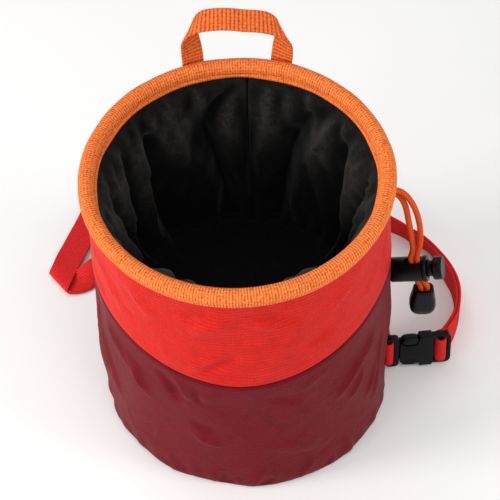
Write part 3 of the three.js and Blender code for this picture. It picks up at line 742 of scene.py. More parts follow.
bagSize = {
    "rimHeight": 142.7, "rimRadius": 66.0, "rollRadius": 3.7, "rimLean": -4.9,
    "tiltX": 0.028, "tiltY": 0.05,
    "wallRadius": 66.4, "swell": 0.7, "swellFade": (60, 125), "baseRadius": 66.0, "gap": 0.35,
    "hemFront": 78.4, "hemSide": 94.2, "hemOverlap": 8.0,
    # pressed in beside the buckle, and a little fuller beside the lock: angle, spread, depth, heights
    "dentAngle": 98, "dentSpread": 15, "dentDepth": 2.4, "dentRise": (0, 4), "dentFade": (18, 42),
    "fullAngle": 84, "fullSpread": 16, "fullDepth": 0.5, "fullRise": (44, 70), "fullFade": (100, 128),
}
wallSize = {
    "around": 520, "crowd": 0.34, "cloth": 1.2, "redCloth": 1.0, "proud": 0.7, "topDrop": 4.6,
    "lowerDepth": 2.2, "upperDepth": 1.5, "billow": 0.2, "backShare": 0.12, "rimFade": (128, 136),
    "crinkles": 130, "crinkleLift": 0.25,
    # maroon wall: rows of its foot, of its step under the red hem and of the overlap, and its foot's inset
    "footRows": (0, 0.35, 0.8, 1.6, 2.4, 3.4, 5, 6.5, 8, 10, 12, 14.5, 17), "wallRows": 58,
    "stepStart": 4, "stepRows": (3.2, 2.4, 1.7, 1.1, 0.6), "overlapRows": (2, 5),
    "footInset": [(0, 1.1), (0.35, 0.9), (0.8, 0.7), (1.6, 0.45), (2.4, 0.3), (3.4, 0.17), (5, 0.05),
                  (8, 0.01), (12, 0)],
    "tuck": 1.6, "fullUnderHem": 0.7,
    "puckers": 41, "puckerLift": 0.42, "puckerHeight": 5.5, "puckerSpread": 5.0,
    # red wall: rows, and the rounded edge of its hem
    "redRows": 50, "hemRound": 0.5, "hemFuller": 0.16, "hemFold": (4.5, 6.5),
    "hemTurns": (-25, -55, -90, -125, -155),
    # creases: points as angle from the front and height, half width in mm, lift (below 0 a hollow)
    "lowerCreases": [
        ([(-66, 82), (-57, 73), (-44, 59), (-38, 50)], 2.2, 0.85),
        ([(-52, 74), (-47, 67), (-41, 54)], 1.8, 0.5),
        ([(-74, 64), (-67, 44), (-59, 24)], 2.0, 0.8),
        ([(-80, 84), (-75, 50), (-70, 22)], 2.0, 0.8),
        ([(-87, 88), (-83, 50), (-80, 12)], 2.0, 0.7),
        ([(-35, 82), (-30, 71), (-25, 57)], 3.6, -1.0),
        ([(-26, 78), (-23, 68), (-20, 62)], 3.0, 0.7),
        ([(-18, 76), (-16.5, 60)], 2.5, -0.6),
        ([(-17, 63), (-8, 73)], 2.6, 0.6),
        ([(-21, 37), (-8, 32)], 2.3, 0.7),
        ([(-22, 45), (-9, 42)], 2.8, -0.6),
        ([(64, 70), (59, 67), (50, 63), (43, 55), (38, 46)], 2.2, 0.9),
        ([(55, 54), (45, 40)], 2.0, 0.6),
        ([(65, 46), (56, 29)], 2.2, 0.65),
        ([(72, 66), (67, 40), (62, 18)], 2.2, 0.65),
        ([(79, 84), (76, 50), (73, 16)], 2.2, 0.5),
        ([(22, 68), (36, 77)], 2.5, 0.5),
        ([(8, 70), (24, 60)], 4.0, -0.5),
        ([(10, 30), (30, 22)], 4.0, 0.4),
        # puckers at the base seam
        ([(-34, 0), (-27, 15)], 2.0, -0.4),
        ([(-14, 0), (-9, 14)], 2.0, 0.45),
        ([(-7, 0), (-4, 9)], 1.6, -0.45),
        ([(2, 0), (8, 15)], 1.8, 0.5),
        ([(7, 0), (11, 8)], 1.6, -0.45),
        ([(21, 0), (28, 13)], 2.0, 0.5),
        ([(33, 0), (36, 9)], 1.8, -0.45),
        ([(47, 0), (43, 16)], 2.0, 0.45),
    ],
    "upperCreases": [
        ([(-19, 112), (-2, 123.5)], 3.0, 1.0),
        ([(-21, 119), (-7, 131)], 3.4, -0.8),
        ([(-20, 85), (-4, 101)], 2.8, 1.0),
        ([(-15, 86), (2, 98)], 3.0, -1.0),
        ([(3, 123), (14, 124.5), (25, 115)], 2.4, -0.8),
        ([(5, 121), (14, 117)], 3.0, 0.8),
        ([(-80, 116), (-66, 115), (-59, 112), (-50, 103)], 2.4, 0.75),
        ([(-44, 128), (-34, 112)], 3.4, 0.6),
        ([(34, 112), (48, 124)], 3.2, 0.7),
        ([(52, 104), (66, 116)], 2.6, 0.6),
        ([(70, 104), (78, 122)], 2.4, 0.5),
        ([(24, 96), (38, 104)], 3.4, -0.6),
    ],
}
baseSize = {
    "around": 240,
    # from the middle of the under side round the turned edge and back over the upper side: radius from the
    # middle, or from the edge where it isn't above 0, and height
    "rows": [(12, 0), (26, 0), (40, 0), (52, 0), (60, 0), (-1.2, 0), (-0.4, 0.15), (0, 0.5), (0, 0.8),
             (-0.4, 1.1), (-1.2, 1.2), (56, 1.2), (44, 1.2), (28, 1.2), (12, 1.2)],
}
seeds = np.random.RandomState(17)
ripples = [(seeds.randint(2, 15), seeds.uniform(0.02, 0.11), seeds.uniform(0, 6.3), seeds.uniform(0, 6.3))
           for _ in range(14)]


def bagPoint(radius, angle, height):
    radius, angle, height = np.broadcast_arrays(radius, angle, height)
    share = height / bagSize["rimHeight"]
    x, y = radius * np.sin(angle), -radius * np.cos(angle)
    return np.stack([x + bagSize["rimLean"] * share, y,
                     height + (x * bagSize["tiltX"] + y * bagSize["tiltY"]) * share], -1)


def wallAt(height):
    return bagSize["wallRadius"] + bagSize["swell"] * (1 - smoothStep(height, *bagSize["swellFade"]))


def hemHeight(angle):
    side = np.abs(np.arctan2(np.sin(angle), np.cos(angle)))
    rise = np.where(side < math.pi / 2, np.sin(np.minimum(side, math.pi / 2)) ** 1.7, 1)
    return bagSize["hemFront"] + (bagSize["hemSide"] - bagSize["hemFront"]) * rise


def awayFrom(angle, degrees):
    off = angle - np.radians(degrees)
    return np.degrees(np.arctan2(np.sin(off), np.cos(off)))


def bellCurve(value, width):
    return np.exp(-(value / width) ** 2)


def frontShare(angle):
    # 1 on the front and sides, 0 on the back, where the belt and its keeper lie
    return smoothStep(np.cos(angle), -0.25, 0.05)


def creaseLift(angle, height, line, width):
    # 1 along the line, steeper on one side of it and fading at its ends
    nearest, found = np.full(angle.shape, 1e6), np.zeros(angle.shape)
    for part, ((a, low), (b, high)) in enumerate(zip(line, line[1:])):
        x, y = np.radians(awayFrom(angle, a)) * bagSize["wallRadius"], height - low
        over, up = math.radians(b - a) * bagSize["wallRadius"], high - low
        share = (x * over + y * up) / (over ** 2 + up ** 2)
        held = np.clip(share, 0, 1)
        off = np.hypot(x - held * over, y - held * up)
        wide = np.where(x * up - y * over > 0, 0.7, 1.4) * width
        whole = (part + held) / (len(line) - 1)
        lift = bellCurve(off, wide) * smoothStep(whole, -0.05, 0.3) * (1 - smoothStep(whole, 0.7, 1.05))
        found = np.where(off < nearest, lift, found)
        nearest = np.minimum(off, nearest)
    return found


def crinkleLines():
    # short faint creases all over the front half, from a fixed seed
    pick = np.random.RandomState(23)
    for _ in range(wallSize["crinkles"]):
        angle, height = pick.uniform(-88, 88), pick.uniform(6, 132)
        slope, long = pick.normal(0, 0.9), pick.uniform(7, 20)
        over = math.degrees(long * math.sin(slope) / bagSize["wallRadius"])
        line = [(angle, height), (angle + over, height - long * math.cos(slope))]
        width = pick.uniform(1.1, 2.4)
        yield line, width, pick.choice((-1, 1)) * pick.uniform(0.4, 1) * wallSize["crinkleLift"]


def wallRelief(angle, height):
    # how far the cloth stands out from the plain wall
    b, s = bagSize, wallSize
    angle, height = np.broadcast_arrays(angle, height)
    out = np.zeros(angle.shape)
    above = height - hemHeight(angle)
    under, over = 1 - smoothStep(above, -16, -2), smoothStep(above, 1, 9)
    free = np.maximum(under, over)  # the hem itself stays smooth
    for part, share in (("lower", under), ("upper", over)):
        for line, width, lift in s[part + "Creases"]:
            out = out + s[part + "Depth"] * lift * creaseLift(angle, height, line, width) * share
    for line, width, lift in crinkleLines():
        out = out + lift * creaseLift(angle, height, line, width) * free
    for turns, rise, first, second in ripples:
        out = out + s["billow"] * np.sin(turns * angle + first) * np.sin(rise * height + second) * free
    full = bellCurve(awayFrom(angle, b["fullAngle"]), b["fullSpread"]) * smoothStep(height, *b["fullRise"])
    out = out + b["fullDepth"] * full * (1 - smoothStep(height, *b["fullFade"]))
    shown = s["backShare"] + (1 - s["backShare"]) * frontShare(angle)
    out = out * shown * (1 - smoothStep(height, *s["rimFade"]))
    low = smoothStep(height, *b["dentRise"]) * (1 - smoothStep(height, *b["dentFade"]))
    return out - b["dentDepth"] * bellCurve(awayFrom(angle, b["dentAngle"]), b["dentSpread"]) * low


def wallAngles():
    # closer together at the front than at the back
    turn = ringAngles(wallSize["around"])
    return turn - wallSize["crowd"] * np.sin(turn)


def wallObject(name, radii, heights, angle):
    # radii and heights are section rows x angles; the section is a closed loop
    run = lengthRound(np.stack([radii.mean(1), heights.mean(1)], -1))
    turn = np.append(angle, angle[0] + fullTurn) * bagSize["wallRadius"]
    return gridObject(name, bagPoint(radii, angle[None, :], heights), run, turn, closed=(True, True))


def makeLowerPanel():
    s = wallSize
    angle = wallAngles()
    hem = hemHeight(angle)
    footTop = s["footRows"][-1]
    heights = [np.full(len(angle), float(h)) for h in s["footRows"]]
    rise = np.linspace(0, 1, s["wallRows"])[1:]
    heights += [footTop + (hem - s["stepStart"] - footTop) * t for t in rise]
    heights += [hem - drop for drop in s["stepRows"]]
    heights += [hem + over for over in (*s["overlapRows"], bagSize["hemOverlap"])]
    heights = np.array(heights)
    inset = np.interp(heights, *zip(*s["footInset"]))
    inset = inset + (s["tuck"] + s["fullUnderHem"]) * smoothStep(heights - hem, -2.8, -0.5)
    inset = inset - s["fullUnderHem"] * smoothStep(heights - hem, -20, -3)
    # uneven gathers above the base seam
    gathers = np.sin(s["puckers"] * angle + 1.7 * np.sin(3 * angle)) + 0.6 * np.sin(23 * angle + 2.0)
    pucker = s["puckerLift"] * gathers * bellCurve(heights - s["puckerHeight"], s["puckerSpread"])
    pucker = pucker * (0.25 + 0.75 * frontShare(angle))
    pucker[:2] = 0
    outer = wallAt(heights) - inset + wallRelief(angle[None, :], heights) + pucker
    keep = np.r_[6:len(heights):5, len(heights) - 1]
    inner, innerHeights = (outer - s["cloth"])[keep][::-1], heights[keep][::-1]
    foot = [np.full((1, len(angle)), value) for value in (bagSize["baseRadius"], s["cloth"])]
    return wallObject("lowerPanel", np.vstack([outer, inner, foot[0]]),
                      np.vstack([heights, innerHeights, foot[1]]), angle)


def makeUpperPanel():
    s = wallSize
    angle = wallAngles()
    hem = hemHeight(angle)
    low, top = hem + s["hemRound"], bagSize["rimHeight"] - s["topDrop"]
    rise = np.linspace(0, 1, s["redRows"]) ** 1.1
    heights = np.array([low + (top - hem - s["hemRound"]) * t for t in rise])
    # the folded edge is a little fuller than the single cloth above it
    fuller = s["hemFuller"] * (1 - smoothStep(heights - hem, *s["hemFold"]))
    outer = wallAt(heights) + s["proud"] + fuller + wallRelief(angle[None, :], heights)
    turn = np.radians(s["hemTurns"])
    half = (s["redCloth"] + s["hemFuller"]) / 2
    edge = np.array([outer[0] - half + half * math.cos(t) for t in turn])
    edgeHeights = np.array([low + s["hemRound"] * math.sin(t) for t in turn])
    inner = (outer - fuller - s["redCloth"])[::7]
    return wallObject("upperPanel", np.vstack([outer[::-1], edge, inner]),
                      np.vstack([heights[::-1], edgeHeights, heights[::7]]), angle)


def makeBasePanel():
    radius = bagSize["baseRadius"] - bagSize["gap"]
    angle = ringAngles(baseSize["around"])
    grid = np.array([bagPoint(r if r > 0 else radius + r, angle, h) for r, h in baseSize["rows"]])
    turn = np.append(angle, fullTurn) * radius
    return gridObject("basePanel", grid, lengthAlong(grid[:, 0]), turn, caps=True)


tapeSize = {
    "depth": 0.17, "perRib": 5, "thickness": 1.0, "outerRadius": 68.1, "outerDrop": 8.6,
    "innerRadius": 61.5, "innerDrop": 7.2, "rollTurn": (-38, 190), "rollRows": 22, "backTurn": (190, -25),
    "backRows": 8, "narrowAngle": 182, "narrowSpread": 9, "narrowBy": 0.75, "edgeRibs": 0.3,
    # section: past the outer radius and up from the lower edge, or down from the top
    "foot": [(-0.1, 0.12), (0.1, 0.55)], "leg": [(0.25, 7.6), (0.35, 6.7)], "legBack": (6.6, 0.1),
    # radius, or past the inner radius, and drop from the middle of the roll
    "groove": [(62.75, 1.2), (63.1, 1.55), (62.6, 1.8)], "flange": [(0.1, 1.95), (0, 2.4), (0.1, 2.9)],
    "flangeEnd": 0.5, "endBack": (62.9, 0.05), "grooveBack": [(63.5, 1.7), (63.4, 1.1)],
}


def makeBinding():
    # section of the tape: outer leg, roll, groove and inner leg, and then the way back inside it
    b, t = bagSize, tapeSize
    top, centre = b["rimHeight"], b["rimHeight"] - b["rollRadius"]

    def rolled(radius, turns, rows):
        return [(b["rimRadius"] + radius * math.cos(a), centre + radius * math.sin(a))
                for a in np.radians(np.linspace(*turns, rows))]

    out, low = t["outerRadius"], top - t["outerDrop"]
    inn, innLow = t["innerRadius"], top - t["innerDrop"]
    outside = out - t["thickness"]
    over = [(out + r, low + z) for r, z in t["foot"]] + [(out + r, top - z) for r, z in t["leg"]]
    over += rolled(b["rollRadius"], t["rollTurn"], t["rollRows"])
    under = [(r, centre - z) for r, z in t["groove"]] + [(inn + r, centre - z) for r, z in t["flange"]]
    under += [(inn + t["flangeEnd"], innLow)]
    back = [(t["endBack"][0], innLow + t["endBack"][1])] + [(r, centre - z) for r, z in t["grooveBack"]]
    back += rolled(b["rollRadius"] - t["thickness"], t["backTurn"], t["backRows"])
    back += [(outside, top - t["legBack"][0]), (outside, low + t["legBack"][1])]
    section = np.array(over + under + back)
    faceRows = len(over + under)
    pitch = ribPitch["tape"]
    count = int(round(fullTurn * b["rimRadius"] / pitch)) * t["perRib"]
    angle = fullTurn * (np.arange(count) + 0.5) / count
    leg = np.zeros((len(section), 1))
    leg[len(over) + 1:faceRows + 2] = 1
    # a sewn tape is never quite even, and its inner leg is narrower at the back
    uneven = 0.16 * np.sin(5 * angle + 0.6) + 0.12 * np.sin(11 * angle + 2) + 0.08 * np.sin(23 * angle)
    narrow = t["narrowBy"] * bellCurve(awayFrom(angle, t["narrowAngle"]), t["narrowSpread"])
    narrow = narrow + 0.3 * np.sin(9 * angle + 1) * np.sin(4 * angle)
    radii = section[:, :1] + 0.5 * uneven[None, :] + leg * narrow[None, :]
    grid = bagPoint(radii, angle[None, :], section[:, 1:] + 0.6 * uneven[None, :] * (1 - leg))
    place = (np.arange(count) + 0.5) / t["perRib"] * pitch
    along = np.append(place, place[0] + count / t["perRib"] * pitch)
    mask = np.concatenate([np.full(faceRows, 1.0), np.zeros(len(back))])
    mask[[0, faceRows - 1]] = t["edgeRibs"]
    floats = {"ribPlace": place[:, None] * mm, "ribMask": mask[None, :]}
    # turned so that the tape's length is the first coordinate
    obj = gridObject("rimBinding", grid.transpose(1, 0, 2), along, lengthRound(section),
                     closed=(True, True), floats=floats)
    return runTree(obj, ribTree, looks["orange_tape"], Pitch=pitch, Depth=t["depth"])


lowerPanel = settle(makeLowerPanel(), "maroon_nylon", nodes=["lower_panel"])
upperPanel = settle(makeUpperPanel(), "red_nylon", nodes=["upper_panel"])
basePanel = settle(makeBasePanel(), "maroon_nylon", nodes=["base_panel"])
settle(makeBinding(), "orange_tape", nodes=["rim_binding"], painted=True)
print("walls, base and binding made")


# Fleece lining

liningSize = {
    "around": 430, "rows": 104, "outerRows": 26, "thickness": 1.9, "tucked": 65.3, "meanRadius": 60,
    "seamAngle": 176.0, "seamDepth": 1.5, "seamWidth": 0.5, "slitDepth": 1.8, "slitWidth": 0.9,
    "lumps": 30, "lumpLift": 0.17, "floorDrop": (79, 84), "seamFade": (66, 76),
    # plain inner face from the binding down to the middle of the floor: radius, drop from the rim, reach of
    # the lobes
    "profile": [(64.1, 3.8, 0), (63.6, 6.2, 0.5), (63.3, 9, 2.2), (62.9, 14, 4.6), (62.5, 22, 7.2),
                (61.5, 34, 9.8), (60, 48, 11), (57.5, 62, 10.4), (53, 73, 7.6), (48, 79, 4.2),
                (41, 82.8, 0.9), (36, 83.7, 0), (24, 84, 0), (12, 84, 0), (3, 84, 0)],
    # valleys between the lobes, at these drops: angle from the front, half widths to the left and to the
    # right in degrees; then depth and the drop where the valley opens
    "drops": (10, 27, 46, 66),
    "valleys": [
        ((-72, -75, -80, -84), (5, 6, 7, 7), (5, 5, 5, 5), 0.9, 18),
        ((-88, -94, -101, -108), (4, 6, 6, 6), (3, 3, 4, 4), 1.0, 20),
        ((-115, -115, -116, -115), (4, 6, 8, 8), (3, 3, 4, 4), 1.1, 16),
        ((-133, -134, -134, -134), (4, 6, 11, 17), (3, 4, 5, 6), 1.05, 17),
        ((-178, -164, -167, -171), (4, 5, 6, 6), (4, 7, 5, 4), 0.8, 9),
        ((177, 177, 176, 175), (5, 5, 5, 6), (5, 5, 5, 5), 0.3, 6),
        ((143, 151, 157, 159), (4, 5, 6, 6), (4, 6, 6, 8), 0.95, 12),
        ((122, 125, 123, 120), (3, 4, 4, 4), (4, 7, 12, 13), 1.05, 17),
        ((95, 98, 105, 111), (3, 3, 4, 4), (5, 6, 6, 6), 1.0, 20),
        ((78, 84, 92, 98), (3, 3, 4, 4), (5, 6, 6, 6), 1.0, 22),
        ((60, 62, 65, 66), (6, 6, 7, 7), (5, 5, 5, 5), 0.9, 14),
        ((40, 40, 40, 40), (6, 6, 6, 6), (6, 6, 6, 6), 0.9, 10),
        ((16, 16, 15, 15), (6, 6, 6, 6), (6, 6, 6, 6), 0.8, 10),
        ((-10, -10, -9, -8), (6, 6, 6, 6), (6, 6, 6, 6), 0.8, 10),
        ((-36, -35, -34, -33), (6, 6, 6, 6), (6, 6, 6, 6), 0.9, 10),
        ((-55, -56, -58, -60), (5, 5, 5, 5), (7, 7, 7, 7), 0.9, 14),
    ],
    # raised creases that run across the lobes: first angle and drop, last angle and drop, half width, lift
    "creases": [
        (-146, 8, -152, 50, 2.7, 2.5), (-136, 10, -144, 44, 2.5, 2.3), (-128, 8, -127, 40, 2.2, 1.9),
        (-110, 8, -111, 36, 2.2, 1.7), (166, 9, 170, 50, 3.4, 1.7), (-172, 22, -177, 52, 3.0, 1.7),
        (130, 8, 143, 40, 2.5, 2.7), (118, 10, 112, 40, 2.2, 1.5), (150, 6, 144, 18, 2.2, 1.3),
        (-160, 7, -164, 20, 2.2, 1.3), (104, 10, 112, 26, 2.0, 1.9), (-88, 14, -96, 44, 2.2, 1.5),
        (90, 20, 100, 44, 2.0, 1.5), (-98, 9, -104, 30, 1.9, 1.3),
    ],
    # puffs that stand out under the near rim: angle, drop, half width in degrees, half height, reach
    "puffs": [(-33, 10, 6.5, 6, 6.4), (-20, 9, 5.5, 5, 5.4), (21, 9, 4.5, 5, 4.2), (31, 10, 6.5, 6, 6.2)],
    # pinched slit beside the rim: first angle and drop, last angle and drop
    "slit": (92, 13, 100, 21),
    # two sewn rings round the floor: drop and half width
    "rings": [(81.0, 0.7), (79.2, 0.5)],
}


def liningAngles():
    # even steps, with closer ones at the seam
    s = liningSize
    near = np.array([0.2, 0.45, 0.7, 1.0, 1.5, 2.2])
    dense = np.radians(s["seamAngle"] + np.concatenate([-near[::-1], [0], near]))
    plain = ringAngles(s["around"])
    plain = plain[np.abs(awayFrom(plain, s["seamAngle"])) > 2.6]
    return np.sort(np.concatenate([plain, dense % fullTurn]))


def liningLobes(angle, drop):
    # 1 on the lobes and less in the valleys between them
    depth = np.zeros((len(drop), len(angle)))
    for angles, lefts, rights, deep, start in liningSize["valleys"]:
        knots = splineThrough(list(zip(liningSize["drops"], angles, lefts, rights)), 12)
        middle, left, right = (np.interp(drop[:, 0], knots[:, 0], knots[:, k])[:, None] for k in (1, 2, 3))
        off = awayFrom(angle[None, :], middle)
        width = np.where(off < 0, left, right)
        opened = smoothStep(drop, start - 5, start + 9)
        depth = np.maximum(depth, deep * opened * np.exp(-(np.abs(off) / width) ** 1.45))
    return 1 - depth


def alongLine(angle, drop, firstAngle, firstDrop, lastAngle, lastDrop):
    # distance in mm from a line on the lining, and how far along it
    radius = liningSize["meanRadius"]
    x, y = np.radians(awayFrom(angle[None, :], firstAngle)) * radius, drop - firstDrop
    across, down = np.radians(lastAngle - firstAngle) * radius, lastDrop - firstDrop
    long = math.hypot(across, down)
    return (x * down - y * across) / long, (x * across + y * down) / long ** 2


def liningLumps(angle, drop):
    noise = np.random.RandomState(5)
    lumps = np.zeros((len(drop), len(angle)))
    for _ in range(liningSize["lumps"]):
        turns, rate = noise.randint(5, 46), noise.uniform(0.03, 0.36)
        around = turns * angle[None, :] + noise.uniform(0, 6.3) + 0.8 * np.sin(rate * 0.6 * drop)
        lumps += np.sin(around) * np.sin(rate * drop + noise.uniform(0, 6.3))
    return lumps * (liningSize["lumpLift"] * smoothStep(drop, 5, 14))


def liningPaintedLight(angle, drop, inner, toFront, pinched):
    # painted light and shade for the fleece colour: lighter on the crests, painted shade in the valleys,
    # low down on the walls and along the seam and slit, the floor painted lighter towards the front, and
    # lighter along the two sewn rings
    columns = len(angle)
    slow = bellCurve(np.arange(columns // 2 + 1), 9.0)
    spread = np.fft.irfft(np.fft.rfft(inner, axis=1) * slow, columns, axis=1)
    side = smoothStep(np.cos(angle), -0.86, -0.4)[None, :]
    # painted shade that deepens low down on the walls, starting further down at the front than at the back
    paintedShadeLow = 0.92 * smoothStep((drop - 20 - 24 * side) / (30 + 8 * side), 0, 1)
    # painted light on the crests, where the face stands in from its neighbours, and painted shade in the
    # valleys
    paintedLight = np.clip(0.25 + (spread - inner) / 3.6, 0, 1) * (1 - paintedShadeLow)
    # the floor: dark, with painted light growing towards the front
    paintedLight = np.where(drop > 80, 0.07 + 0.05 * smoothStep(toFront, -45, 20), paintedLight)
    # lighter along the two sewn rings, and painted shade along the pinched seam and slit
    sewn = sum(bellCurve(drop - ringDrop, width) for ringDrop, width in liningSize["rings"])
    return np.maximum(paintedLight, 0.16 * sewn) * (1 - 0.9 * pinched)


def makeLining():
    s = liningSize
    angle = liningAngles()
    smooth = splineThrough(s["profile"], 24)
    smooth = evenly(smooth[:, :2], lengthAlong(smooth[:, :2])[-1] / (s["rows"] - 1), smooth)[1]
    radius, drop, reach = (smooth[:, k:k + 1] for k in range(3))
    inner = radius - reach * liningLobes(angle, drop)
    for *line, width, lift in s["creases"]:
        off, share = alongLine(angle, drop, *line)
        faded = smoothStep(share, -0.1, 0.35) * (1 - smoothStep(share, 0.65, 1.1))
        inner = inner - lift * bellCurve(off, width) * faded
    for puffAngle, puffDrop, wide, tall, out in s["puffs"]:
        puff = bellCurve(awayFrom(angle[None, :], puffAngle), wide) * bellCurve(drop - puffDrop, tall)
        inner = inner - out * puff * smoothStep(drop, 4.5, 8)
    lumps = liningLumps(angle, drop)
    wallShare = 1 - smoothStep(drop, *s["floorDrop"])
    inner = inner - lumps * wallShare
    seam = bellCurve(awayFrom(angle, s["seamAngle"]), s["seamWidth"])[None, :]
    seam = seam * (1 - smoothStep(drop, *s["seamFade"]))
    off, share = alongLine(angle, drop, *s["slit"])
    slit = bellCurve(off, s["slitWidth"]) * smoothStep(share, -0.05, 0.1)
    slit = slit * (1 - smoothStep(share, 0.8, 1.05))
    inner = inner + s["seamDepth"] * seam + s["slitDepth"] * slit
    inner = np.clip(inner, 0.5, s["tucked"] - s["thickness"] * smoothStep(drop, 5, 9))
    innerDrop = drop + lumps * 0.5 * (1 - wallShare) * smoothStep(inner, 22, 44)
    # the outer face has fewer rows, and its edge is held in the binding
    keep = np.unique(np.round(np.linspace(0, len(smooth) - 1, s["outerRows"])).astype(int))
    slope = unitRows(np.gradient(smooth[:, :2], axis=0))[keep]
    outer = inner[keep] + s["thickness"] * slope[:, 1:2]
    outer = np.where(drop[keep] < 7, s["tucked"], np.minimum(outer, s["tucked"]))
    sunk = np.maximum(-slope[:, 0:1], 0) * smoothStep(drop[keep], 40, 80)
    outerDrop = innerDrop[keep] + s["thickness"] * sunk
    radii = np.vstack([outer[::-1], inner])
    drops = np.vstack([outerDrop[::-1], innerDrop])
    grid = bagPoint(radii, angle[None, :], bagSize["rimHeight"] - drops)
    run = lengthAlong(np.stack([radii.mean(1), drops.mean(1)], -1))
    turn = np.append(angle, angle[0] + fullTurn) * s["meanRadius"]
    # painted light and shade for the fleece colour; the outer face gets none
    paintedLight = liningPaintedLight(angle, drop, inner, -grid[len(keep):, :, 1], np.maximum(seam, slit))
    paintedLight = np.vstack([np.zeros(outer.shape), paintedLight])
    return gridObject("fleeceLining", grid, run, turn, caps=True, floats={"paintedLight": paintedLight})


fleeceLining = settle(makeLining(), "black_fleece", nodes=["fleece_lining"])
print("lining made")


# Webbing: hang loop, belt and keeper

edgeBend = np.radians([-60, -25, 25, 60])  # turns of a strap's rounded edge


def strapLine(stations, spacing):
    # even steps along the strap: middle, half-width vector, face and run
    perSpan = 30
    line = splineThrough([point for point, _ in stations], perSpan)
    sides = splineThrough([across for _, across in stations], perSpan, centripetal=False)
    line, sides, run = evenly(line, spacing, sides)
    ahead = unitRows(np.gradient(line, axis=0))
    return line, sides, unitRows(np.cross(ahead, sides)), run


def strapObject(name, strip, thickness, perFace, lengthwise):
    # flat section with rounded edges; ribs lie across the strap or along it
    line, sides, face, run = strip
    width = np.linalg.norm(sides, axis=1).max()
    edge = 0.45 * thickness / width
    top = np.stack([np.linspace(-1, 1, perFace) * (1 - edge), np.full(perFace, 0.5)], -1)
    right = np.stack([1 - edge + edge * np.cos(edgeBend), -0.5 * np.sin(edgeBend)], -1)
    section = np.vstack([top, right, top[::-1] * (1, -1), right[::-1] * (-1, 1)])
    grid = (line[:, None] + sides[:, None] * section[None, :, :1]
            + face[:, None] * section[None, :, 1:] * thickness)
    mask = np.tile(np.concatenate([np.full(perFace, 1.0), np.full(len(edgeBend), 0.25)]), 2)
    across = lengthRound(section * (width, thickness))
    place = run[:, None]
    if lengthwise:
        # the weave's second coordinate is the distance from one edge, on both faces
        across = (np.append(section[:, 0], section[0, 0]) + 1) * width
        place = across[None, :-1]
        mask[[0, perFace - 1, perFace + 4, 2 * perFace + 3]] = 0.5
    floats = {"ribPlace": place * mm, "ribMask": mask[None, :]}
    return gridObject(name, grid, run, across, caps=True, floats=floats)


loopSize = {
    "width": 10.3, "thickness": 1.2, "middle": -4.9, "depth": 0.24, "spacing": 0.31, "perFace": 12,
    # out from the middle, y, z and twist from its sewn end up to the top run
    "rows": [(20.4, 65.2, 112, 0), (20.4, 65.3, 130, 0), (20.3, 67.0, 137.5, 0), (20.2, 68.3, 143, 0.06),
             (20.8, 69.0, 150, 0.18), (21.5, 69.6, 156.8, 0.42), (20.7, 70, 162.2, 0.68),
             (16.4, 70.2, 165.7, 0.9), (10.5, 70.2, 167.0, 0.98), (4, 70.2, 167.2, 1)],
    "sewn": (0.952, 0.307, 0), "topRun": (0, 0.75, 0.66),
    # how much nearer the middle and lower the right leg is, row by row
    "rightNearer": (0, 0, 0, 0, 0.1, 0.5, 1.2, 1.6, 1.3, 0.6),
    "rightLower": (0, 0, 0, 0, 0, 0.4, 0.9, 1.2, 1.1, 0.9),
}
beltSize = {
    "width": 13.5, "thickness": 1.25, "layerStep": 1.5, "depth": 0.1, "spacing": 1.25, "perFace": 52,
    "tailRows": 14,  # rows from the buckle that carry the tail over the strap
    # on the floor from the buckle round the back to the fold: x, y, z, lean; at the fold skew and heading
    "out": [(96.1, 16.6, 7.1, -7), (97.7, 19.3, 7.1, -6), (99.65, 23.3, 7.1, -3), (101.35, 27.75, 7.1, 0),
            (102.5, 32.75, 7.1, 0), (103.2, 38, 7.1, 0), (103.3, 44.3, 7.1, 0), (102.1, 51.3, 7.1, 0),
            (100.4, 56.3, 7.1, 0), (98.4, 61.1, 7.1, -2), (96.4, 66.0, 7.1, -9), (92.1, 74.6, 7.0, -20),
            (88.3, 78.8, 7.0, -20), (83.9, 81.8, 7.0, -15), (80.2, 85.3, 7.0, -11), (73.3, 90.4, 7.0, -8),
            (53, 101.8, 7.0, 4), (28, 114.6, 6.8, 20), (2, 122.5, 5.9, 42), (-25, 124.3, 4.7, 60),
            (-54, 122, 3.0, 76), (-71, 116, 2.4, 86), (-77.6, 106.6, 2.4, 90), (-81.6, 95.4, 2.4, 90),
            (-87.5, 78.6, 2.7, 90), (-91.1, 68.5, 2.8, 90, -18, 251), (-93.2, 61.2, 2.8, 90, -34, 251)],
    "fold": [(-94.7, 56.0, 1.8, 90, -34, 251)],
    "back": [(-91.8, 55.9, 0.98, -90, 34, 3), (-88.0, 56.2, 0.98, -90, 24, 6),
             (-83.7, 57.2, 1.75, -83, 8, 18), (-77.8, 60.4, 4.4, -58, 0, 26), (-71, 64.9, 6.4, -36),
             (-57, 68.6, 8.8, -12), (-40, 67.4, 11.6, 0), (-27, 65.0, 13.8, 0), (-18.2, 66.2, 15.2, 0),
             (-10.1, 67.7, 15.9, 0), (-0.5, 68.36, 16, 0), (10.1, 67.6, 15.9, 0), (23, 64.8, 15.6, 0),
             (43.7, 53, 14.2, 0), (56, 40, 12.6, 0), (63.6, 26.8, 11.2, 0), (67.3, 16.4, 10.3, 0)],
    # round the buckle's bars, in the buckle's own frame seen from above
    "femaleWrap": [(12.9, 5.6), (11.1, 4.7), (9.2, 4.2), (7.9, 3.2), (7.5, 1.4), (7.5, -1.4), (8.2, -2.6),
                   (9.7, -2.95), (11.2, -2.6), (11.85, -1.3), (11.9, 0.8), (12.7, 2.3), (14.4, 4.1)],
    "maleWrap": [(-14.6, 4.6), (-13.8, 2.4), (-13.7, -0.6), (-14.3, -2.2), (-15.9, -2.75), (-17.25, -2.1),
                 (-17.7, -0.4), (-17.35, 3), (-17.3, 9), (-17.4, 15.5)],
    "buckleCentre": (83.1, 7.6, 10.0), "buckleTurn": 7.0, "buckleLean": -6.0,
}
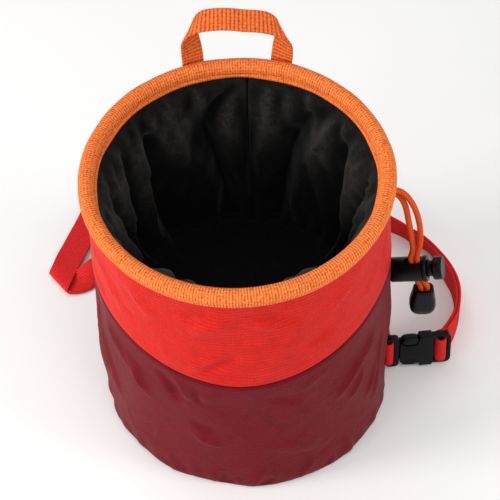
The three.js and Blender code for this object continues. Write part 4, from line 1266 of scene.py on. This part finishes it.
keeperSize = {
    "thickness": 1.1, "halfAngle": 10.0, "columns": 60, "spacing": 0.5, "edge": 0.0045, "edgeGap": 0.01,
    # distance from the wall and height, sewn down above and below the belt
    "rows": [(0.35, 2.6), (0.35, 6.4), (0.6, 7.0), (2.1, 8.1), (2.45, 8.8), (2.45, 12), (2.45, 16),
             (2.45, 20), (2.45, 24.0), (2.1, 24.9), (0.6, 26.0), (0.35, 26.6), (0.35, 31)],
    "midHeight": 16, "stitchHeights": (3.9, 5.6, 27.9, 29.6), "stitchAngle": 8.6, "stitchOff": 1.67,
    "stitchPoints": 15,
}


def loopStations():
    s = loopSize
    left = []
    for out, y, z, twist in s["rows"]:
        across = np.array(s["sewn"]) * (1 - twist) + np.array(s["topRun"]) * twist
        left.append(((s["middle"] - out, y, z), across / np.linalg.norm(across) * s["width"] / 2))
    right = [((2 * s["middle"] - x - nearer, y, z - lower), across * (-1, 1, 1))
             for ((x, y, z), across), nearer, lower in zip(left, s["rightNearer"], s["rightLower"])]
    return left + right[::-1]


def buckleMatrix():
    turn, lean = (math.radians(beltSize[key]) for key in ("buckleTurn", "buckleLean"))
    place = Matrix.Rotation(turn, 4, "Z") @ Matrix.Rotation(lean, 4, "X")
    place.translation = Vector(beltSize["buckleCentre"])
    return place


def floorStations(rows):
    half = beltSize["width"] / 2
    found = []
    for i, row in enumerate(rows):
        x, y, z, lean, skew, heading = (*row, 0, None) if len(row) == 4 else row
        if heading is None:
            before, after = rows[max(i - 1, 0)], rows[min(i + 1, len(rows) - 1)]
            way = math.atan2(after[1] - before[1], after[0] - before[0])
        else:
            way = math.radians(heading)
        skew, lean = math.radians(skew), math.radians(lean)
        level = half * math.sin(lean) / math.cos(skew)
        across = math.sin(way + skew) * level, -math.cos(way + skew) * level, half * math.cos(lean)
        ahead = math.cos(way), math.sin(way), 0
        found.append([np.array(part, float) for part in ((x, y, z), across, ahead)])
    return found


def beltStations():
    s = beltSize
    place = buckleMatrix()
    upright = np.array(place.to_3x3() @ Vector((0, 0, s["width"] / 2)))

    def wrapped(rows):
        return [(np.array(place @ Vector((x, y, 0))), upright) for x, y in rows]

    def plain(stations):
        return [(point, across) for point, across, _ in stations]

    def layer(stations, side):
        moved = []
        for point, across, ahead in stations:
            out = np.cross(ahead, across)
            moved.append((point + out / np.linalg.norm(out) * side * s["layerStep"] / 2, across))
        return moved

    run = floorStations(s["out"])
    tail, rest = run[:s["tailRows"]], run[s["tailRows"]:]
    return (layer(tail, 1)[::-1] + wrapped(s["femaleWrap"])[::-1] + layer(tail, -1) + plain(rest)
            + plain(floorStations(s["fold"])) + plain(floorStations(s["back"])) + wrapped(s["maleWrap"]))


def makeKeeper():
    # short strip sewn down above and below the belt; its section is inner face, edge, outer face, edge
    s = keeperSize
    path = evenly(np.array([(wallAt(z) + off, z) for off, z in s["rows"]]), s["spacing"])[0]
    lean = unitRows(np.gradient(path, axis=0))
    outside = np.stack([lean[:, 1], -lean[:, 0]], -1)
    bend = edgeBend[::-1]
    columns = s["columns"]
    spread = np.radians(np.linspace(-s["halfAngle"], s["halfAngle"], columns)) * (1 - s["edgeGap"])
    edge = s["edge"] * np.cos(bend)
    turns = np.concatenate([spread, spread[-1] + edge, spread[::-1], spread[0] - edge])
    level = [np.zeros(columns), 0.5 - 0.5 * np.sin(bend), np.ones(columns), 0.5 + 0.5 * np.sin(bend)]
    level = np.concatenate(level)[None, :] * s["thickness"]
    radii = path[:, :1] + outside[:, :1] * level
    heights = path[:, 1:] + outside[:, 1:] * level
    grid = bagPoint(radii, math.pi + turns[None, :], heights)
    side = np.append(turns, turns[0]) * wallAt(s["midHeight"])
    mask = np.concatenate([np.zeros(columns + 4), np.ones(columns), np.zeros(4)])
    return gridObject("beltKeeper", grid, lengthAlong(path), side, caps=True,
                      floats={"ribPlace": side[None, :-1] * mm, "ribMask": mask[None, :]})


loopStrip = strapLine(loopStations(), loopSize["spacing"])
hangLoop = strapObject("hangLoop", loopStrip, loopSize["thickness"], loopSize["perFace"], False)
runTree(hangLoop, ribTree, looks["orange_loop"], Pitch=ribPitch["loop"], Depth=loopSize["depth"])
settle(hangLoop, "orange_tape", nodes=["hang_loop"], painted=True)

beltStrip = strapLine(beltStations(), beltSize["spacing"])
waistBelt = strapObject("waistBelt", beltStrip, beltSize["thickness"], beltSize["perFace"], True)
for obj, node in ((waistBelt, "waist_belt"), (makeKeeper(), "belt_keeper")):
    runTree(obj, ribTree, looks["red_webbing"], Pitch=ribPitch["belt"], Depth=beltSize["depth"])
    settle(obj, "red_webbing", nodes=[node], painted=True)
print("hang loop, belt (%.0f mm) and keeper made" % beltStrip[3][-1])


# Sewn lines on the hang loop's ends and on the keeper

stitchSize = {
    "step": 1.9, "length": 1.5, "thread": 0.45, "above": 0.12,
    # box on each end of the loop: from and to along it, share of its half width, a row inside it, steps
    "boxFrom": 2, "boxTo": 13, "boxSide": 0.72, "boxRow": 10, "perSide": 9,
}


def sewnLine(name, lines, look, slot):
    # each line is a list of (point, facing); they become one piece
    points, edges, facings = [], [], []
    for line in lines:
        start = len(points)
        points += [point for point, _ in line]
        facings += [facing for _, facing in line]
        edges += [(start + k, start + k + 1) for k in range(len(line) - 1)]
    mesh = bpy.data.meshes.new(name)
    mesh.from_pydata((np.array(points) * mm).tolist(), edges, [])
    store = mesh.attributes.new("facing", "FLOAT_VECTOR", "POINT")
    store.data.foreach_set("vector", np.array(facings, np.float32).ravel())
    obj = linkObject(name, mesh)
    runTree(obj, stitchTree, looks[look], Step=stitchSize["step"], Length=stitchSize["length"],
            Thread=stitchSize["thread"])
    obj.data.shade_smooth()
    settle(obj, slot, painted=True)


def onLoop(level, run, side):
    line, sides, face, runs = loopStrip
    spot, across, facing = (np.array([np.interp(run, runs, values[:, k]) for k in range(3)])
                            for values in (line, sides, face))
    facing = facing * level
    above = (loopSize["thickness"] + loopSize["depth"]) / 2 + stitchSize["above"]
    return spot + across * side + facing * above, facing


def boxOfStitches(row, first, last):
    # a box with a cross in it, on the side of the loop that looks away from the bag at this row
    level = 1 if loopStrip[2][row][1] > 0 else -1
    side = stitchSize["boxSide"]
    a, b, c, d = (first, -side), (first, side), (last, side), (last, -side)
    found = []
    for line in ([a, b, c, d, a], [a, c], [b, d]):
        spots = []
        for (run, off), (nextRun, nextOff) in zip(line, line[1:]):
            spots += [onLoop(level, run + (nextRun - run) * t, off + (nextOff - off) * t)
                      for t in np.linspace(0, 1, stitchSize["perSide"])]
        found.append(spots)
    return found


def keeperStitches():
    s = keeperSize
    angle = math.pi + np.radians(np.linspace(-s["stitchAngle"], s["stitchAngle"], s["stitchPoints"]))
    lines = []
    for height in s["stitchHeights"]:
        points = bagPoint(wallAt(height) + s["stitchOff"], angle, np.full(len(angle), height))
        lines.append([(point, (math.sin(a), -math.cos(a), 0)) for point, a in zip(points, angle)])
    return lines


loopEnd = loopStrip[3][-1]
boxFrom, boxTo = stitchSize["boxFrom"], stitchSize["boxTo"]
boxRow = stitchSize["boxRow"]
loopBoxes = boxOfStitches(boxRow, boxFrom, boxTo)
loopBoxes += boxOfStitches(-boxRow, loopEnd - boxTo, loopEnd - boxFrom)
sewnLine("hangLoopStitches", loopBoxes, "orange_thread", "orange_tape")
sewnLine("keeperStitches", keeperStitches(), "red_thread", "red_webbing")
print("stitches sewn")


# Buckle

buckleSize = {
    "bevel": 0.6, "bevelSteps": 3, "bevelAngle": 30, "sharpAngle": 40,
    "bodyHalf": 2.6, "frameHalf": 1.6, "maleHalf": 1.6, "slotHalf": 7.2, "slotCorner": 0.5, "slotDeep": 5,
    # half outline of the receiving half, from its mouth to the end of its frame: length, height
    "body": [(-10.2, 0), (-10.2, 5.9), (-9.6, 6.3), (-8.8, 5.3), (-7.4, 4.5), (-5.4, 4.2), (-3.4, 4.5),
             (-1.9, 5.4), (-1.0, 7.0), (-0.8, 8.8), (-0.2, 9.2), (5.0, 9.2), (5.6, 8.7), (5.6, 0)],
    "frame": [(4.2, 0), (4.2, 9.0), (11.8, 9.3), (13.4, 8.9), (14.4, 7.8), (14.7, 6.2), (14.7, 0)],
    "frameSlots": [(6.2, 8.8), (10.6, 13.1)],
    "bar": [(-16.7, 0), (-16.7, 7.4), (-16.2, 8.7), (-15.0, 9.3), (-12.2, 9.2), (-11.0, 8.4), (-10.5, 7.0),
            (-10.5, 0)],
    "barSlot": (-15.2, -12.95),
    "tongue": [(-11.5, 0), (-11.5, 4.0), (0.5, 3.4), (0.5, 0)], "tongueHalf": 1.2,
    # the arm's rounded end that shows at each side: middle, half length and half height, and its rounding
    "arm": (-5.2, 6.55, 4.35, 2.4), "armHalf": 2.3, "armSides": 40, "armCorner": 0.75,
    "armRows": [(-1, 0.55), (-0.93, 0.8), (-0.75, 0.94), (-0.4, 1), (0.4, 1), (0.75, 0.94), (0.93, 0.8),
                (1, 0.55)],
}


def platePart(name, half, thick):
    # closed plate from half an outline, mirrored below
    top = np.array(half, float)
    outline = np.vstack([top, (top * (1, -1))[::-1][1:-1]])
    rows = [np.column_stack([outline[:, 0], np.full(len(outline), y), outline[:, 1]])
            for y in (-thick, thick)]
    return gridObject(name, np.array(rows), [0, 2 * thick], lengthRound(outline), caps=True)


def slotPart(first, last):
    half, corner = buckleSize["slotHalf"], buckleSize["slotCorner"]
    outline = [(first, 0), (first, half - corner), (first + corner, half), (last - corner, half),
               (last, half - corner), (last, 0)]
    return platePart("slotCutter", outline, buckleSize["slotDeep"])


def armPart(side):
    s = buckleSize
    x, z, long, tall = s["arm"]
    angle = ringAngles(s["armSides"])
    wide, high = squared(np.cos(angle), s["armCorner"]), squared(np.sin(angle), s["armCorner"])
    rows = [np.stack([x + long * wide * (0.5 + 0.5 * share), np.full(len(angle), level * s["armHalf"]),
                      side * (z + tall * high * share)], -1) for level, share in s["armRows"]]
    return gridObject("armPart", np.array(rows), np.linspace(0, 5, len(rows)),
                      np.arange(len(angle) + 1) * 0.5, caps=True)


def softenEdges(obj):
    # small bevel on the hard edges, then smooth shading between them
    s = buckleSize
    shape = bmesh.new()
    shape.from_mesh(obj.data)
    bmesh.ops.remove_doubles(shape, verts=shape.verts, dist=1e-6)
    limit = math.radians(s["bevelAngle"])
    hard = [e for e in shape.edges if len(e.link_faces) == 2 and e.calc_face_angle(0) > limit]
    bmesh.ops.bevel(shape, geom=hard, offset=s["bevel"] * mm, offset_type="OFFSET",
                    segments=s["bevelSteps"], profile=0.5, affect="EDGES", clamp_overlap=True)
    shape.to_mesh(obj.data)
    shape.free()
    obj.data.shade_smooth()
    obj.data.set_sharp_from_angle(angle=math.radians(s["sharpAngle"]))


def makeBuckle():
    s = buckleSize
    female = platePart("buckleFemale", s["frame"], s["frameHalf"])
    for slot in s["frameSlots"]:
        combine(female, slotPart(*slot), "DIFFERENCE")
    combine(female, platePart("bodyPart", s["body"], s["bodyHalf"]), "UNION")
    male = platePart("buckleMale", s["bar"], s["maleHalf"])
    combine(male, slotPart(*s["barSlot"]), "DIFFERENCE")
    combine(male, platePart("tonguePart", s["tongue"], s["tongueHalf"]), "UNION")
    for obj in (female, male):
        softenEdges(obj)
    for side in (1, -1):
        combine(male, armPart(side), "UNION")
    male.data.set_sharp_from_angle(angle=math.radians(s["sharpAngle"]))
    return [moveMesh(obj, buckleMatrix()) for obj in (female, male)]


buckleFemale, buckleMale = makeBuckle()
settle(buckleFemale, "black_plastic", nodes=["buckle_female"])
settle(buckleMale, "black_plastic", nodes=["buckle_male"])
print("buckle made")
